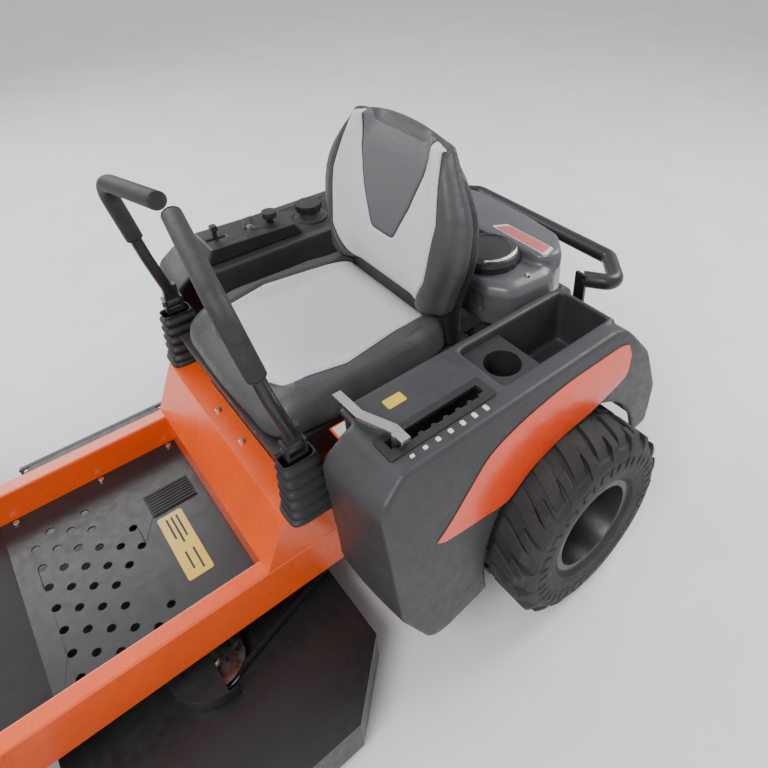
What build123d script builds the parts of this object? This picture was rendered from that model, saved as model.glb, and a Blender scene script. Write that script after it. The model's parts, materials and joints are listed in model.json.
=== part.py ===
"""Zero turn mower: a ride-on mower steered by two lap bars.

Millimetres, +Z up.  The front faces -Y and +X is the driver's left.
Stations along Y are written from the rear axle, forward negative, and every
solid is moved by ROW_SHIFT_Y when it is saved, so that the row's origin lies
on the ground under the middle of the machine.
"""
from build123d import *
from math import cos, radians, sin
import os

os.makedirs("parts", exist_ok=True)

# ---------------------------------------------------------------- wheels
WHEELBASE = 1225
REAR_TYRE_R = 235
REAR_TYRE_W = 225
REAR_TRACK_HALF = 506
REAR_RIM_R = 112
CASTER_TYRE_R = 140
CASTER_TYRE_W = 100
CASTER_RIM_R = 66
CASTER_TRACK_HALF = 510
CASTER_TRAIL = 62
RUN_CLEAR = 0.05
SIDE_CLEAR = 0.5
SEAT_GAP = 0.3

# ---------------------------------------------------------------- frame
RAIL_IN = 253
RAIL_W = 38
RAIL_BOTTOM = 215
RAIL_TOP = 325
RAIL_REAR_Y = 290
RAIL_KICK_Y = -110
RAIL_KICK_RUN = 70
RAIL_THIN = 32
BEAM_H = 60
BEAM_D = 50
PLATE_T = 4
PLATFORM_Z = 245
PLATFORM_REAR_Y = -622
PLATFORM_FRONT_Y = -1010
TOE_FRONT_Y = -1200
TOE_RISE = 78
HOLE_R = 8
HOLE_PITCH_X = 56.5
HOLE_PITCH_Y = 35.3
FIRST_HOLE_ROW_Y = -787

# ---------------------------------------------------------------- seat box
BOX_HALF = RAIL_IN + RAIL_W
BOX_TOP = 446
BOX_RIDGE_Y = -570
BOX_REAR_Y = -130
BOX_WALL = 3

# ---------------------------------------------------------------- fenders
FENDER_IN = BOX_HALF
FENDER_OUT = 512
FENDER_TOP = 650
FENDER_WALL = 4
FENDER_FRONT_Y = -500
FENDER_REAR_Y = 322
FENDER_LOW = 205
ARCH_GAP = 26
BIN_X0 = 313
BIN_X1 = 461
BIN_Y0 = -152
BIN_Y1 = 170
BIN_DEPTH = 145
CUP_R = 40
CUP_DEPTH = 92
CUP_DROP = 22
SLOT_X0 = 412
SLOT_X1 = 446
SLOT_Y0 = -413
SLOT_Y1 = -192

# ---------------------------------------------------------------- seat
SEAT_HALF = 245
SEAT_FRONT_Y = -545
SEAT_HINGE_Y = -505
SEAT_HINGE_Z = 474
PAN_Z = 492
PAN_H = 62
CUSHION_H = 74
BACK_TOP = 1036
BACK_HALF = 260

# ---------------------------------------------------------------- levers
LEVER_X = 287
LEVER_PIVOT_Y = -522
LEVER_PIVOT_Z = 470
SWING_Z = 615
LEVER_TUBE_R = 12.5
GRIP_R = 18
LEVER_TIP_X = 34

# ---------------------------------------------------------------- deck
DECK_HALF = 546
DECK_REAR_Y = -478
DECK_FRONT_Y = -1050
DECK_LOW = 25
DECK_TOP = 115
DECK_T = 4
SPINDLE_X = 262
SPINDLE_Y = -764
BLADE_R = 258
BLADE_Z = 38
BELT_Z = 122
BELT_W = 13
PULLEY_R = 62
CRANK_Y = 100
DECK_TRAVEL = 60
LEVER_TURN = 36
CHUTE_Y0 = -960
CHUTE_Y1 = -560
CHUTE_OUT = 76
CHUTE_BARREL_R = 3

# ---------------------------------------------------------------- engine
ENGINE_PLATE_T = 6
COVER_Z0 = 560
COVER_Z1 = 700
BUMPER_Z = 600
BUMPER_R = 21
BUMPER_REAR_Y = 455

FRONT_AXLE_Y = -WHEELBASE
SWIVEL_Y = FRONT_AXLE_Y - CASTER_TRAIL
FRONT_Y = FRONT_AXLE_Y - CASTER_TYRE_R
ROW_SHIFT_Y = -(FRONT_Y + BUMPER_REAR_Y) / 2
ZMIN = (Align.CENTER, Align.CENTER, Align.MIN)


def save(name, *solids):
    """Write the solids of one node, moved into the row's frame."""
    shape = Compound(children=list(solids)) if len(solids) > 1 else solids[0]
    export_step(Pos(0, ROW_SHIFT_Y, 0) * shape, f"parts/{name}.step")


def block(x0, x1, y0, y1, z0, z1):
    """Axis-aligned block between two corners."""
    centre = Pos((x0 + x1) / 2, (y0 + y1) / 2, (z0 + z1) / 2)
    return centre * Box(abs(x1 - x0), abs(y1 - y0), abs(z1 - z0))


def rod_x(radius, x0, x1, y, z):
    """Cylinder along X."""
    return Pos(x0, y, z) * Rot(0, 90, 0) * Cylinder(radius, x1 - x0, align=ZMIN)


def rod_y(radius, y0, y1, x, z):
    """Cylinder along Y."""
    return Pos(x, y0, z) * Rot(-90, 0, 0) * Cylinder(radius, y1 - y0, align=ZMIN)


def rod_z(radius, z0, z1, x, y):
    """Cylinder along Z."""
    return Pos(x, y, z0) * Cylinder(radius, z1 - z0, align=ZMIN)


def side_prism(points, x0, x1):
    """Outline in (Y, Z), extruded along X."""
    face = Plane.YZ.offset(x0) * make_face(Polyline(*points, close=True))
    return extrude(face, amount=x1 - x0)


def plan_prism(points, z0, z1):
    """Outline in (X, Y), extruded along Z."""
    face = Plane.XY.offset(z0) * make_face(Polyline(*points, close=True))
    return extrude(face, amount=z1 - z0)


def turned_x(profile, x, y, z):
    """Solid of revolution about the X axis from (radius, x) points."""
    face = make_face(Polyline(*[(dx, r) for r, dx in profile], close=True))
    return Pos(x, y, z) * revolve(face, Axis.X)


def turned_z(profile, x, y, z):
    """Solid of revolution about the Z axis from (radius, z) points."""
    face = Plane.XZ * make_face(Polyline(*profile, close=True))
    return Pos(x, y, z) * revolve(face, Axis.Z)


def tube_along(points, radius, bend):
    """Round bar along straight runs joined by arcs."""
    path = FilletPolyline(*points, radius=bend)
    start = Plane(origin=path @ 0, z_dir=path % 0)
    return sweep(start * Circle(radius), path=path)


def mirrored(shape):
    """The same shape on the driver's right."""
    return mirror(shape, about=Plane.YZ)


def both(shape):
    """The shape and its mirror image."""
    return [shape, mirrored(shape)]


# ================================================================ frame
HUB_FACE_X = REAR_TRACK_HALF - 20
AXLE_R = 15
AXLE_SPAN = 66
BOOT_X0 = 252
BOOT_X1 = 330
BOOT_Y0 = -568
BOOT_Y1 = -440
BOOT_TOP = 590
RAIL_OUT = RAIL_IN + RAIL_W
BEAM_REAR_Y = SWIVEL_Y + BEAM_D / 2
BEAM_TOP = CASTER_TYRE_R * 2 + 20 + BEAM_H
BEAM_BOTTOM = BEAM_TOP - BEAM_H
SWIVEL_R = 13
SWIVEL_HUB_R = 27
LEVER_SLOT_MID_Y = (SLOT_Y0 + SLOT_Y1) / 2
LIFT_SHAFT_Z = 372
LIFT_SHAFT_R = 11
HANDLE_LIFT = 12
HANDLE_THICK = 8


def frame_rail():
    """Channel-section rail, kicked up at the rear over the drive axle."""
    kick_z = RAIL_TOP - RAIL_THIN
    outline = [(BEAM_REAR_Y, RAIL_BOTTOM), (RAIL_KICK_Y - RAIL_KICK_RUN, RAIL_BOTTOM),
               (RAIL_KICK_Y, kick_z), (RAIL_REAR_Y, kick_z),
               (RAIL_REAR_Y, RAIL_TOP), (BEAM_REAR_Y, RAIL_TOP)]
    return side_prism(outline, RAIL_IN, RAIL_OUT)


def front_axle_beam():
    """Cross tube with a swivel housing at each end."""
    beam = block(-CASTER_TRACK_HALF, CASTER_TRACK_HALF, SWIVEL_Y - BEAM_D / 2, BEAM_REAR_Y,
                 BEAM_BOTTOM, BEAM_TOP)
    for x in (-CASTER_TRACK_HALF, CASTER_TRACK_HALF):
        beam += rod_z(SWIVEL_HUB_R, BEAM_BOTTOM, BEAM_TOP, x, SWIVEL_Y)
    for x in (-CASTER_TRACK_HALF, CASTER_TRACK_HALF):
        beam -= rod_z(SWIVEL_R + RUN_CLEAR, BEAM_BOTTOM - 1, BEAM_TOP + 1, x, SWIVEL_Y)
    return beam


ENGINE_PLATE_FRONT_Y = -70
ENGINE_PLATE_REAR_Y = RAIL_REAR_Y
HITCH_Y = ENGINE_PLATE_REAR_Y - 30
HITCH_R = 10
CRANK_HOLE_R = 60


def engine_plate():
    """Rear cross plate that carries the engine, with the tow hitch hole."""
    plate = block(-RAIL_IN, RAIL_IN, ENGINE_PLATE_FRONT_Y, ENGINE_PLATE_REAR_Y,
                  RAIL_TOP - ENGINE_PLATE_T, RAIL_TOP)
    plate -= rod_z(CRANK_HOLE_R, 0, RAIL_TOP + 1, 0, CRANK_Y)
    plate -= rod_z(HITCH_R, 0, RAIL_TOP + 1, 0, HITCH_Y)
    return plate


BOX_FOOT_Y = PLATFORM_REAR_Y + 1
BOX_SLOPE_Y = BOX_FOOT_Y - 2


def seat_box():
    """Orange sheet housing under the seat: sloped front panel, top and sides."""
    outline = [(BOX_SLOPE_Y, RAIL_TOP), (BOX_RIDGE_Y, BOX_TOP), (BOX_REAR_Y, BOX_TOP),
               (BOX_REAR_Y, RAIL_TOP)]
    inner = [(BOX_SLOPE_Y + BOX_WALL, RAIL_TOP - 1), (BOX_RIDGE_Y + BOX_WALL, BOX_TOP - BOX_WALL),
             (BOX_REAR_Y + 1, BOX_TOP - BOX_WALL), (BOX_REAR_Y + 1, RAIL_TOP - 1)]
    shell = side_prism(outline, -BOX_HALF, BOX_HALF)
    shell -= side_prism(inner, -BOX_HALF + BOX_WALL, BOX_HALF - BOX_WALL)
    apron = [(PLATFORM_REAR_Y, PLATFORM_Z), (BOX_SLOPE_Y, RAIL_TOP),
             (BOX_SLOPE_Y + BOX_WALL, RAIL_TOP), (PLATFORM_REAR_Y + BOX_WALL, PLATFORM_Z)]
    shell += side_prism(apron, -RAIL_IN, RAIL_IN)
    shell -= rod_x(LIFT_SHAFT_R + RUN_CLEAR, -BOX_HALF - 1, BOX_HALF + 1, LEVER_SLOT_MID_Y,
                   LIFT_SHAFT_Z)
    return shell


def platform_holes():
    """Staggered drain and grip holes of the foot platform."""
    rows = 6
    cutters = []
    for row in range(rows):
        y = FIRST_HOLE_ROW_Y - row * HOLE_PITCH_Y
        shift = HOLE_PITCH_X / 2 * (row % 2)
        for column in range(-3, 4):
            x = column * HOLE_PITCH_X + shift
            left_out = abs(x) > RAIL_IN - 40 or (row < 2 and column in (-3, -2, 1, 2))
            if not left_out:
                cutters.append(rod_z(HOLE_R, PLATFORM_Z - PLATE_T - 1, PLATFORM_Z + 1, x, y))
    return cutters


def foot_platform():
    """Black floor plate between the rails, turned up at the toes."""
    floor = [(PLATFORM_REAR_Y, PLATFORM_Z - PLATE_T), (PLATFORM_REAR_Y, PLATFORM_Z),
             (PLATFORM_FRONT_Y, PLATFORM_Z), (TOE_FRONT_Y, PLATFORM_Z + TOE_RISE),
             (TOE_FRONT_Y, PLATFORM_Z + TOE_RISE - PLATE_T),
             (PLATFORM_FRONT_Y, PLATFORM_Z - PLATE_T)]
    plate = side_prism(floor, -RAIL_IN, RAIL_IN)
    for cutter in platform_holes():
        plate -= cutter
    return plate


# ================================================================ fenders
ARCH_R = REAR_TYRE_R + ARCH_GAP
BIN_FLOOR = FENDER_TOP - BIN_DEPTH
FENDER_FRONT_TOP_Y = FENDER_FRONT_Y + 70
FENDER_REAR_TOP_Y = 235
FENDER_REAR_LOW = 275


def fender_outline(inset):
    """Side outline of a fender, inset by a wall."""
    return [(FENDER_FRONT_Y + inset, 306), (FENDER_FRONT_Y + inset, 600 - inset),
            (FENDER_FRONT_TOP_Y + inset, FENDER_TOP - inset),
            (FENDER_REAR_TOP_Y - inset, FENDER_TOP - inset),
            (FENDER_REAR_Y - inset, 400), (FENDER_REAR_Y - inset, FENDER_REAR_LOW - inset),
            (0, FENDER_LOW - 2 * inset), (-425 + inset, FENDER_LOW - 2 * inset)]


def fender_shell():
    """Moulded shell over the tyre: top, outer, front and rear walls."""
    shell = side_prism(fender_outline(0), FENDER_IN, FENDER_OUT)
    shell -= side_prism(fender_outline(FENDER_WALL), FENDER_IN - 1, FENDER_OUT - FENDER_WALL)
    shell -= rod_x(ARCH_R, FENDER_IN - 2, FENDER_OUT + 2, 0, REAR_TYRE_R)
    shell -= block(FENDER_IN - 2, FENDER_OUT + 2, -ARCH_R, ARCH_R, 0, REAR_TYRE_R)
    shell -= block(FENDER_IN - 2, BOOT_X1 + 8, FENDER_FRONT_Y - 1, FENDER_FRONT_TOP_Y, 0, FENDER_TOP + 1)
    inner_wall = block(FENDER_IN, FENDER_IN + FENDER_WALL, FENDER_FRONT_TOP_Y, FENDER_REAR_TOP_Y,
                       RAIL_TOP + 80, FENDER_TOP)
    cut = rod_x(ARCH_R, FENDER_IN - 2, FENDER_OUT + 2, 0, REAR_TYRE_R)
    return shell + (inner_wall - cut)


def left_fender():
    """Fender with the storage bin, and the slot of the height lever."""
    shell = fender_shell()
    walls = block(BIN_X0 - FENDER_WALL, BIN_X1 + FENDER_WALL, BIN_Y0 - FENDER_WALL,
                  BIN_Y1 + FENDER_WALL, BIN_FLOOR - FENDER_WALL, FENDER_TOP)
    shell += walls
    shell -= block(BIN_X0, BIN_X1, BIN_Y0, BIN_Y1, BIN_FLOOR, FENDER_TOP + 1)
    shell -= block(SLOT_X0, SLOT_X1, SLOT_Y0, SLOT_Y1, FENDER_TOP - 10, FENDER_TOP + 1)
    return shell


CONSOLE_Y0 = -415
CONSOLE_Y1 = -170
CONSOLE_TOP = 690
CONSOLE_IN = 318
CONSOLE_OUT = 430
TANK_CAP_R = 34
TANK_NECK_R = 30
TANK_CAP_Y = -86
TANK_X = 398


def right_fender():
    """Mirror of the left shell with a round hole for the filler neck."""
    shell = fender_shell()
    shell -= rod_z(TANK_NECK_R + 1, FENDER_TOP - 10, FENDER_TOP + 1, TANK_X, TANK_CAP_Y)
    return mirrored(shell)


def fuel_tank():
    """Tank under the right fender, above the tyre, with its filler neck."""
    body = block(FENDER_IN + 12, FENDER_OUT - 14, -210, 190, ARCH_R + REAR_TYRE_R + 8,
                 FENDER_TOP - FENDER_WALL)
    body += rod_z(TANK_NECK_R, FENDER_TOP - FENDER_WALL, FENDER_TOP + 14, TANK_X, TANK_CAP_Y)
    body -= rod_z(TANK_NECK_R - 5, FENDER_TOP - 60, FENDER_TOP + 15, TANK_X, TANK_CAP_Y)
    return mirrored(body)


def fuel_cap():
    """Screw cap with grip ribs."""
    z0 = FENDER_TOP + 14
    cap = rod_z(TANK_CAP_R, z0 + SEAT_GAP, z0 + 20, TANK_X, TANK_CAP_Y)
    for step in range(12):
        rib = Pos(TANK_CAP_R, 0, z0 + SEAT_GAP) * Cylinder(2.5, 19, align=ZMIN)
        cap += Pos(TANK_X, TANK_CAP_Y, 0) * Rot(0, 0, step * 30) * rib
    return mirrored(cap)


KEY_Y = -275
KEY_X = 370
THROTTLE_Y = -365
THROTTLE_EYE_R = 5
PTO_Y = -215
KNOB_HOLE_R = 8


def control_panel():
    """Raised pod on the right fender that holds the key, throttle and clutch knob."""
    outline = [(CONSOLE_Y0, FENDER_TOP), (CONSOLE_Y0 + 18, CONSOLE_TOP), (CONSOLE_Y1, CONSOLE_TOP - 8),
               (CONSOLE_Y1 + 22, FENDER_TOP)]
    pod = side_prism(outline, CONSOLE_IN, CONSOLE_OUT)
    for y in (KEY_Y, PTO_Y):
        pod -= rod_z(KNOB_HOLE_R + RUN_CLEAR, FENDER_TOP - 1, CONSOLE_TOP + 5, KEY_X, y)
    pod -= block(KEY_X - 3.3, KEY_X + 3.3, THROTTLE_Y - 24, THROTTLE_Y + 24, FENDER_TOP + 8,
                 CONSOLE_TOP + 5)
    return mirrored(pod)


def ignition_key():
    """Key barrel with a flat bow."""
    top = CONSOLE_TOP + 4
    key = rod_z(KNOB_HOLE_R, FENDER_TOP + SEAT_GAP, top, KEY_X, KEY_Y)
    key += block(KEY_X - 2, KEY_X + 2, KEY_Y - 13, KEY_Y + 13, top, top + 24)
    return mirrored(key)


def throttle_lever():
    """Flat lever with a knob, pivoting low in the pod's slot."""
    z0 = FENDER_TOP + 12
    lever = block(KEY_X - 3, KEY_X + 3, THROTTLE_Y - 5, THROTTLE_Y + 5, z0, CONSOLE_TOP + 22)
    lever += rod_x(THROTTLE_EYE_R, KEY_X - 3, KEY_X + 3, THROTTLE_Y, z0 + THROTTLE_EYE_R + 1)
    lever += block(KEY_X - 9, KEY_X + 9, THROTTLE_Y - 8, THROTTLE_Y + 8, CONSOLE_TOP + 22,
                   CONSOLE_TOP + 36)
    return mirrored(lever)


def pto_knob():
    """Pull-up blade clutch knob."""
    stem_top = CONSOLE_TOP + 8
    knob = rod_z(KNOB_HOLE_R, FENDER_TOP + SEAT_GAP, stem_top, KEY_X, PTO_Y)
    knob += rod_z(19, stem_top, stem_top + 16, KEY_X, PTO_Y)
    return mirrored(knob)


# ================================================================ engine
CRANK_R = 14
COVER_HALF = 262
COVER_FRONT_Y = 22
INTAKE_R = 86
INTAKE_X = 120


def engine_block():
    """Crankcase and two finned cylinders spread rearward."""
    case = rod_z(120, RAIL_TOP, 470, 0, CRANK_Y)
    case += block(-118, 118, CRANK_Y - 118, CRANK_Y + 60, 470, COVER_Z0)
    for side in (-1, 1):
        axis = Pos(0, CRANK_Y + 10, 430) * Rot(0, 0, -side * 45) * Rot(-90, 0, 0)
        case += axis * Cylinder(52, 205, align=ZMIN)
        for fin in range(7):
            case += axis * Pos(0, 0, 122 + fin * 12) * Cylinder(66, 4, align=ZMIN)
    case -= rod_z(CRANK_R + RUN_CLEAR, RAIL_TOP - 1, RAIL_TOP + 40, 0, CRANK_Y)
    return case


def engine_cover():
    """Blower housing over the engine."""
    outline = [(-COVER_HALF, 60), (-205, COVER_FRONT_Y), (205, COVER_FRONT_Y), (COVER_HALF, 60), (COVER_HALF + 16, 185),
               (215, 288), (110, 318), (-110, 318), (-215, 288), (-COVER_HALF - 16, 185)]
    cover = plan_prism(outline, COVER_Z0, COVER_Z1 - 30)
    top = [(x * 0.86, 130 + (y - 130) * 0.86) for x, y in outline]
    cover += plan_prism(top, COVER_Z1 - 30, COVER_Z1 - 12)
    cover += rod_z(INTAKE_R, COVER_Z1 - 12, COVER_Z1 + 10, INTAKE_X, COVER_FRONT_Y + INTAKE_R + 6)
    return cover


def muffler():
    """Round silencer behind the engine, with its outlet pipe."""
    can_y = BUMPER_REAR_Y - 80
    can = rod_x(52, -150, 150, can_y, 420)
    can += rod_y(15, can_y, BUMPER_REAR_Y - 6, -110, 400)
    can += block(-25, 25, HITCH_Y + 14, can_y, RAIL_TOP, RAIL_TOP + 6)
    can += block(-25, 25, can_y - 25, can_y, RAIL_TOP, 400)
    return can


def rear_bumper():
    """Bent tube guard round the rear of the engine, on two legs."""
    leg_x = RAIL_IN + RAIL_W / 2
    rear_y = BUMPER_REAR_Y - BUMPER_R
    path = [(leg_x, RAIL_REAR_Y + 14, BUMPER_Z), (leg_x + 70, RAIL_REAR_Y + 62, BUMPER_Z),
            (leg_x - 20, rear_y, BUMPER_Z), (20 - leg_x, rear_y, BUMPER_Z),
            (-leg_x - 70, RAIL_REAR_Y + 62, BUMPER_Z), (-leg_x, RAIL_REAR_Y + 14, BUMPER_Z)]
    guard = tube_along(path, BUMPER_R, 28)
    for x in (-leg_x, leg_x):
        guard += block(x - 16, x + 16, RAIL_REAR_Y, RAIL_REAR_Y + 8, RAIL_TOP - RAIL_THIN,
                       BUMPER_Z + BUMPER_R)
        guard += block(x - 16, x + 16, RAIL_REAR_Y, RAIL_REAR_Y + 26, BUMPER_Z - 5, BUMPER_Z + 5)
    return guard


def battery():
    """Battery on a tray between the rails."""
    case = block(-98, 98, -262, -142, RAIL_TOP - 60, RAIL_TOP + 96)
    tray = block(-RAIL_IN, RAIL_IN, -272, -132, RAIL_TOP - 64, RAIL_TOP - 60)
    terminals = rod_z(8, RAIL_TOP + 96, RAIL_TOP + 110, -70, -170)
    terminals += rod_z(8, RAIL_TOP + 96, RAIL_TOP + 110, 70, -170)
    return case + tray + terminals


def transaxle():
    """Hydrostatic drive unit, with the axle that carries the rear wheel."""
    case = block(112, 300, -78, 92, 178, RAIL_TOP - RAIL_THIN)
    case += rod_x(42, 300, HUB_FACE_X - 14, 0, REAR_TYRE_R)
    case -= rod_x(AXLE_R + RUN_CLEAR, HUB_FACE_X - AXLE_SPAN, HUB_FACE_X, 0, REAR_TYRE_R)
    return case




# ================================================================ wheels
def rear_rim():
    """Drop-centre steel rim with its disc, hub, axle stub and wheel nuts."""
    half = REAR_TYRE_W / 2 - 20
    rim = turned_x([(REAR_RIM_R, -half), (REAR_RIM_R, half), (REAR_RIM_R + 12, half),
                    (REAR_RIM_R + 12, half + 6), (REAR_RIM_R - 6, half + 6),
                    (REAR_RIM_R - 6, -half - 6), (REAR_RIM_R + 12, -half - 6),
                    (REAR_RIM_R + 12, -half)], REAR_TRACK_HALF, 0, REAR_TYRE_R)
    rim += rod_x(REAR_RIM_R - 5, HUB_FACE_X, HUB_FACE_X + 6, 0, REAR_TYRE_R)
    rim += rod_x(34, HUB_FACE_X - 13, HUB_FACE_X + 40, 0, REAR_TYRE_R)
    rim += rod_x(AXLE_R, HUB_FACE_X - AXLE_SPAN + 1, HUB_FACE_X, 0, REAR_TYRE_R)
    for step in range(5):
        angle = radians(72 * step + 90)
        rim += rod_x(9, HUB_FACE_X, HUB_FACE_X + 22, 52 * cos(angle), REAR_TYRE_R + 52 * sin(angle))
    return rim


def rear_tyre():
    """Hollow carcass of the drive tyre."""
    half = REAR_TYRE_W / 2
    wall = 11
    bead = half - 20.5
    outer = [(REAR_RIM_R, -bead), (REAR_RIM_R + 14, -bead), (165, -half), (205, -half),
             (REAR_TYRE_R - 4, -half + 22), (REAR_TYRE_R, -half + 40), (REAR_TYRE_R, half - 40),
             (REAR_TYRE_R - 4, half - 22), (205, half), (165, half), (REAR_RIM_R + 14, bead),
             (REAR_RIM_R, bead)]
    inner = [(REAR_RIM_R, bead - wall), (165, half - wall), (205, half - wall),
             (REAR_TYRE_R - 20, half - 38), (REAR_TYRE_R - 20, 38 - half), (205, wall - half),
             (165, wall - half), (REAR_RIM_R, wall - bead)]
    return turned_x(outer + inner, REAR_TRACK_HALF, 0, REAR_TYRE_R)


CASTER_AXLE_R = 8
FORK_HALF = CASTER_TYRE_W / 2 + 7
FORK_T = 6
CROWN_Z = BEAM_BOTTOM - SIDE_CLEAR - 1
SPINDLE_TOP = BEAM_TOP + 14


def caster_fork():
    """Fork with its swivel spindle, grease cap and wheel axle."""
    x = CASTER_TRACK_HALF
    fork = block(x - FORK_HALF - FORK_T, x + FORK_HALF + FORK_T, SWIVEL_Y - 32, SWIVEL_Y + 42,
                 CROWN_Z - FORK_T, CROWN_Z)
    leg = [(SWIVEL_Y - 32, CROWN_Z), (SWIVEL_Y + 42, CROWN_Z), (FRONT_AXLE_Y + 20, CASTER_TYRE_R),
           (FRONT_AXLE_Y + 12, CASTER_TYRE_R - 20), (FRONT_AXLE_Y - 12, CASTER_TYRE_R - 20),
           (FRONT_AXLE_Y - 20, CASTER_TYRE_R)]
    for inner in (x - FORK_HALF - FORK_T, x + FORK_HALF):
        fork += side_prism(leg, inner, inner + FORK_T)
    fork += rod_z(SWIVEL_R, CROWN_Z, SPINDLE_TOP, x, SWIVEL_Y)
    fork += rod_z(SWIVEL_HUB_R - 6, BEAM_TOP + SIDE_CLEAR, SPINDLE_TOP, x, SWIVEL_Y)
    fork += rod_x(CASTER_AXLE_R, x - FORK_HALF - FORK_T - 10, x + FORK_HALF + FORK_T + 10,
                  FRONT_AXLE_Y, CASTER_TYRE_R)
    return fork


def caster_rim():
    """Small rim with its bearing hub."""
    half = CASTER_TYRE_W / 2 - 12
    rim = turned_x([(CASTER_RIM_R, -half), (CASTER_RIM_R, half), (CASTER_RIM_R - 8, half),
                    (CASTER_RIM_R - 8, 5), (22, 5), (22, half + 12), (CASTER_AXLE_R + RUN_CLEAR, half + 12),
                    (CASTER_AXLE_R + RUN_CLEAR, -half - 12), (22, -half - 12), (22, -5),
                    (CASTER_RIM_R - 8, -5), (CASTER_RIM_R - 8, -half)],
                   CASTER_TRACK_HALF, FRONT_AXLE_Y, CASTER_TYRE_R)
    return rim


def caster_tyre():
    """Ribbed tyre of the front wheel."""
    half = CASTER_TYRE_W / 2
    profile = [(CASTER_RIM_R, 14 - half), (CASTER_RIM_R + 20, 4 - half), (112, -half),
               (CASTER_TYRE_R - 8, 10 - half), (CASTER_TYRE_R, 26 - half), (CASTER_TYRE_R, half - 26),
               (CASTER_TYRE_R - 8, half - 10), (112, half), (CASTER_RIM_R + 20, half - 4),
               (CASTER_RIM_R, half - 14), (112, half - 14), (112, 14 - half)]
    return turned_x(profile, CASTER_TRACK_HALF, FRONT_AXLE_Y, CASTER_TYRE_R)


# ================================================================ levers
LEVER_PIN_R = 8
SWING_PIN_R = 6
EAR_T = 6
POST_HALF_W = 16


def lever_brackets():
    """Ears and pin on the seat box under each steering lever."""
    ears = block(LEVER_X - 24, LEVER_X + 4, LEVER_PIVOT_Y - 20, LEVER_PIVOT_Y + 20,
                 BOX_TOP, BOX_TOP + 3)
    for x in (LEVER_X - 24, LEVER_X + 12):
        ears += block(x, x + EAR_T, LEVER_PIVOT_Y - 15, LEVER_PIVOT_Y + 15, BOX_TOP,
                      LEVER_PIVOT_Z + 14)
    ears += block(LEVER_X - 24, LEVER_X + 18, LEVER_PIVOT_Y - 15, LEVER_PIVOT_Y + 15,
                  BOX_TOP, BOX_TOP + 3)
    ears += rod_x(LEVER_PIN_R, LEVER_X - 26, LEVER_X + 20, LEVER_PIVOT_Y, LEVER_PIVOT_Z)
    return both(ears)


def lever_boot():
    """Hollow rubber boot round the foot of a lever."""
    wall = 3
    boot = block(BOOT_X0, BOOT_X1, BOOT_Y0, BOOT_Y1, BOX_TOP, BOOT_TOP - 40)
    boot += block(BOOT_X0 + 8, BOOT_X1 - 14, BOOT_Y0 + 12, BOOT_Y1 - 34, BOOT_TOP - 40, BOOT_TOP)
    boot -= block(BOOT_X0 + wall, BOOT_X1 - wall, BOOT_Y0 + wall, BOOT_Y1 - wall, BOX_TOP - 1,
                  BOOT_TOP - 40 - wall)
    boot -= block(BOOT_X0 + 8 + wall, BOOT_X1 - 14 - wall, BOOT_Y0 + 12 + wall,
                  BOOT_Y1 - 34 - wall, BOOT_TOP - 60, BOOT_TOP + 1)
    return boot


def lever_base():
    """Strap that turns fore and aft, with the swing-out pin at its top."""
    base = rod_x(18, LEVER_X - 10, LEVER_X + 10, LEVER_PIVOT_Y, LEVER_PIVOT_Z)
    base += block(LEVER_X - 5, LEVER_X + 5, LEVER_PIVOT_Y - POST_HALF_W,
                  LEVER_PIVOT_Y + POST_HALF_W, LEVER_PIVOT_Z, SWING_Z - 16)
    for y0 in (LEVER_PIVOT_Y - POST_HALF_W - 5, LEVER_PIVOT_Y + POST_HALF_W):
        base += block(LEVER_X - 14, LEVER_X + 14, y0, y0 + 5, SWING_Z - 22, SWING_Z + 14)
    base += block(LEVER_X - 14, LEVER_X + 14, LEVER_PIVOT_Y - POST_HALF_W,
                  LEVER_PIVOT_Y + POST_HALF_W, SWING_Z - 22, SWING_Z - 16)
    base += rod_y(SWING_PIN_R, LEVER_PIVOT_Y - POST_HALF_W - 8, LEVER_PIVOT_Y + POST_HALF_W + 8,
                  LEVER_X, SWING_Z)
    base -= rod_x(LEVER_PIN_R + RUN_CLEAR, LEVER_X - 11, LEVER_X + 11, LEVER_PIVOT_Y,
                  LEVER_PIVOT_Z)
    return base


LEVER_CORNER = (LEVER_X, -590, 952)
LEVER_END = (LEVER_TIP_X, -555, 992)
LEVER_BEND = 62
GRIP_FROM = 0.3


def lever_path():
    """Centre line of the lap bar from the swing pin to its inboard end."""
    foot = (LEVER_X, LEVER_PIVOT_Y, SWING_Z + 26)
    return FilletPolyline(foot, (LEVER_X, -548, 745), LEVER_CORNER, LEVER_END, radius=LEVER_BEND)


def lever_bar(radius, start, end):
    """Round bar over a share of the lever's centre line."""
    path = lever_path()
    part = path.trim(start, end) if start > 0 or end < 1 else path
    plane = Plane(origin=part @ 0, z_dir=part % 0)
    return sweep(plane * Circle(radius), path=part)


def lever_tube():
    """Steel tube with its swing hub and the flat height-adjuster plates."""
    hub_half = POST_HALF_W - SIDE_CLEAR
    tube = lever_bar(LEVER_TUBE_R, 0, 1)
    tube += rod_y(13, LEVER_PIVOT_Y - hub_half, LEVER_PIVOT_Y + hub_half, LEVER_X, SWING_Z)
    tube += block(LEVER_X - 8, LEVER_X + 8, LEVER_PIVOT_Y - hub_half, LEVER_PIVOT_Y + hub_half,
                  SWING_Z, SWING_Z + 48)
    tube -= rod_y(SWING_PIN_R + RUN_CLEAR, LEVER_PIVOT_Y - 30, LEVER_PIVOT_Y + 30, LEVER_X, SWING_Z)
    return tube


def lever_grip():
    """Foam grip over the upper tube."""
    return lever_bar(GRIP_R, GRIP_FROM, 1) - lever_bar(LEVER_TUBE_R, GRIP_FROM, 1)


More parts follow.
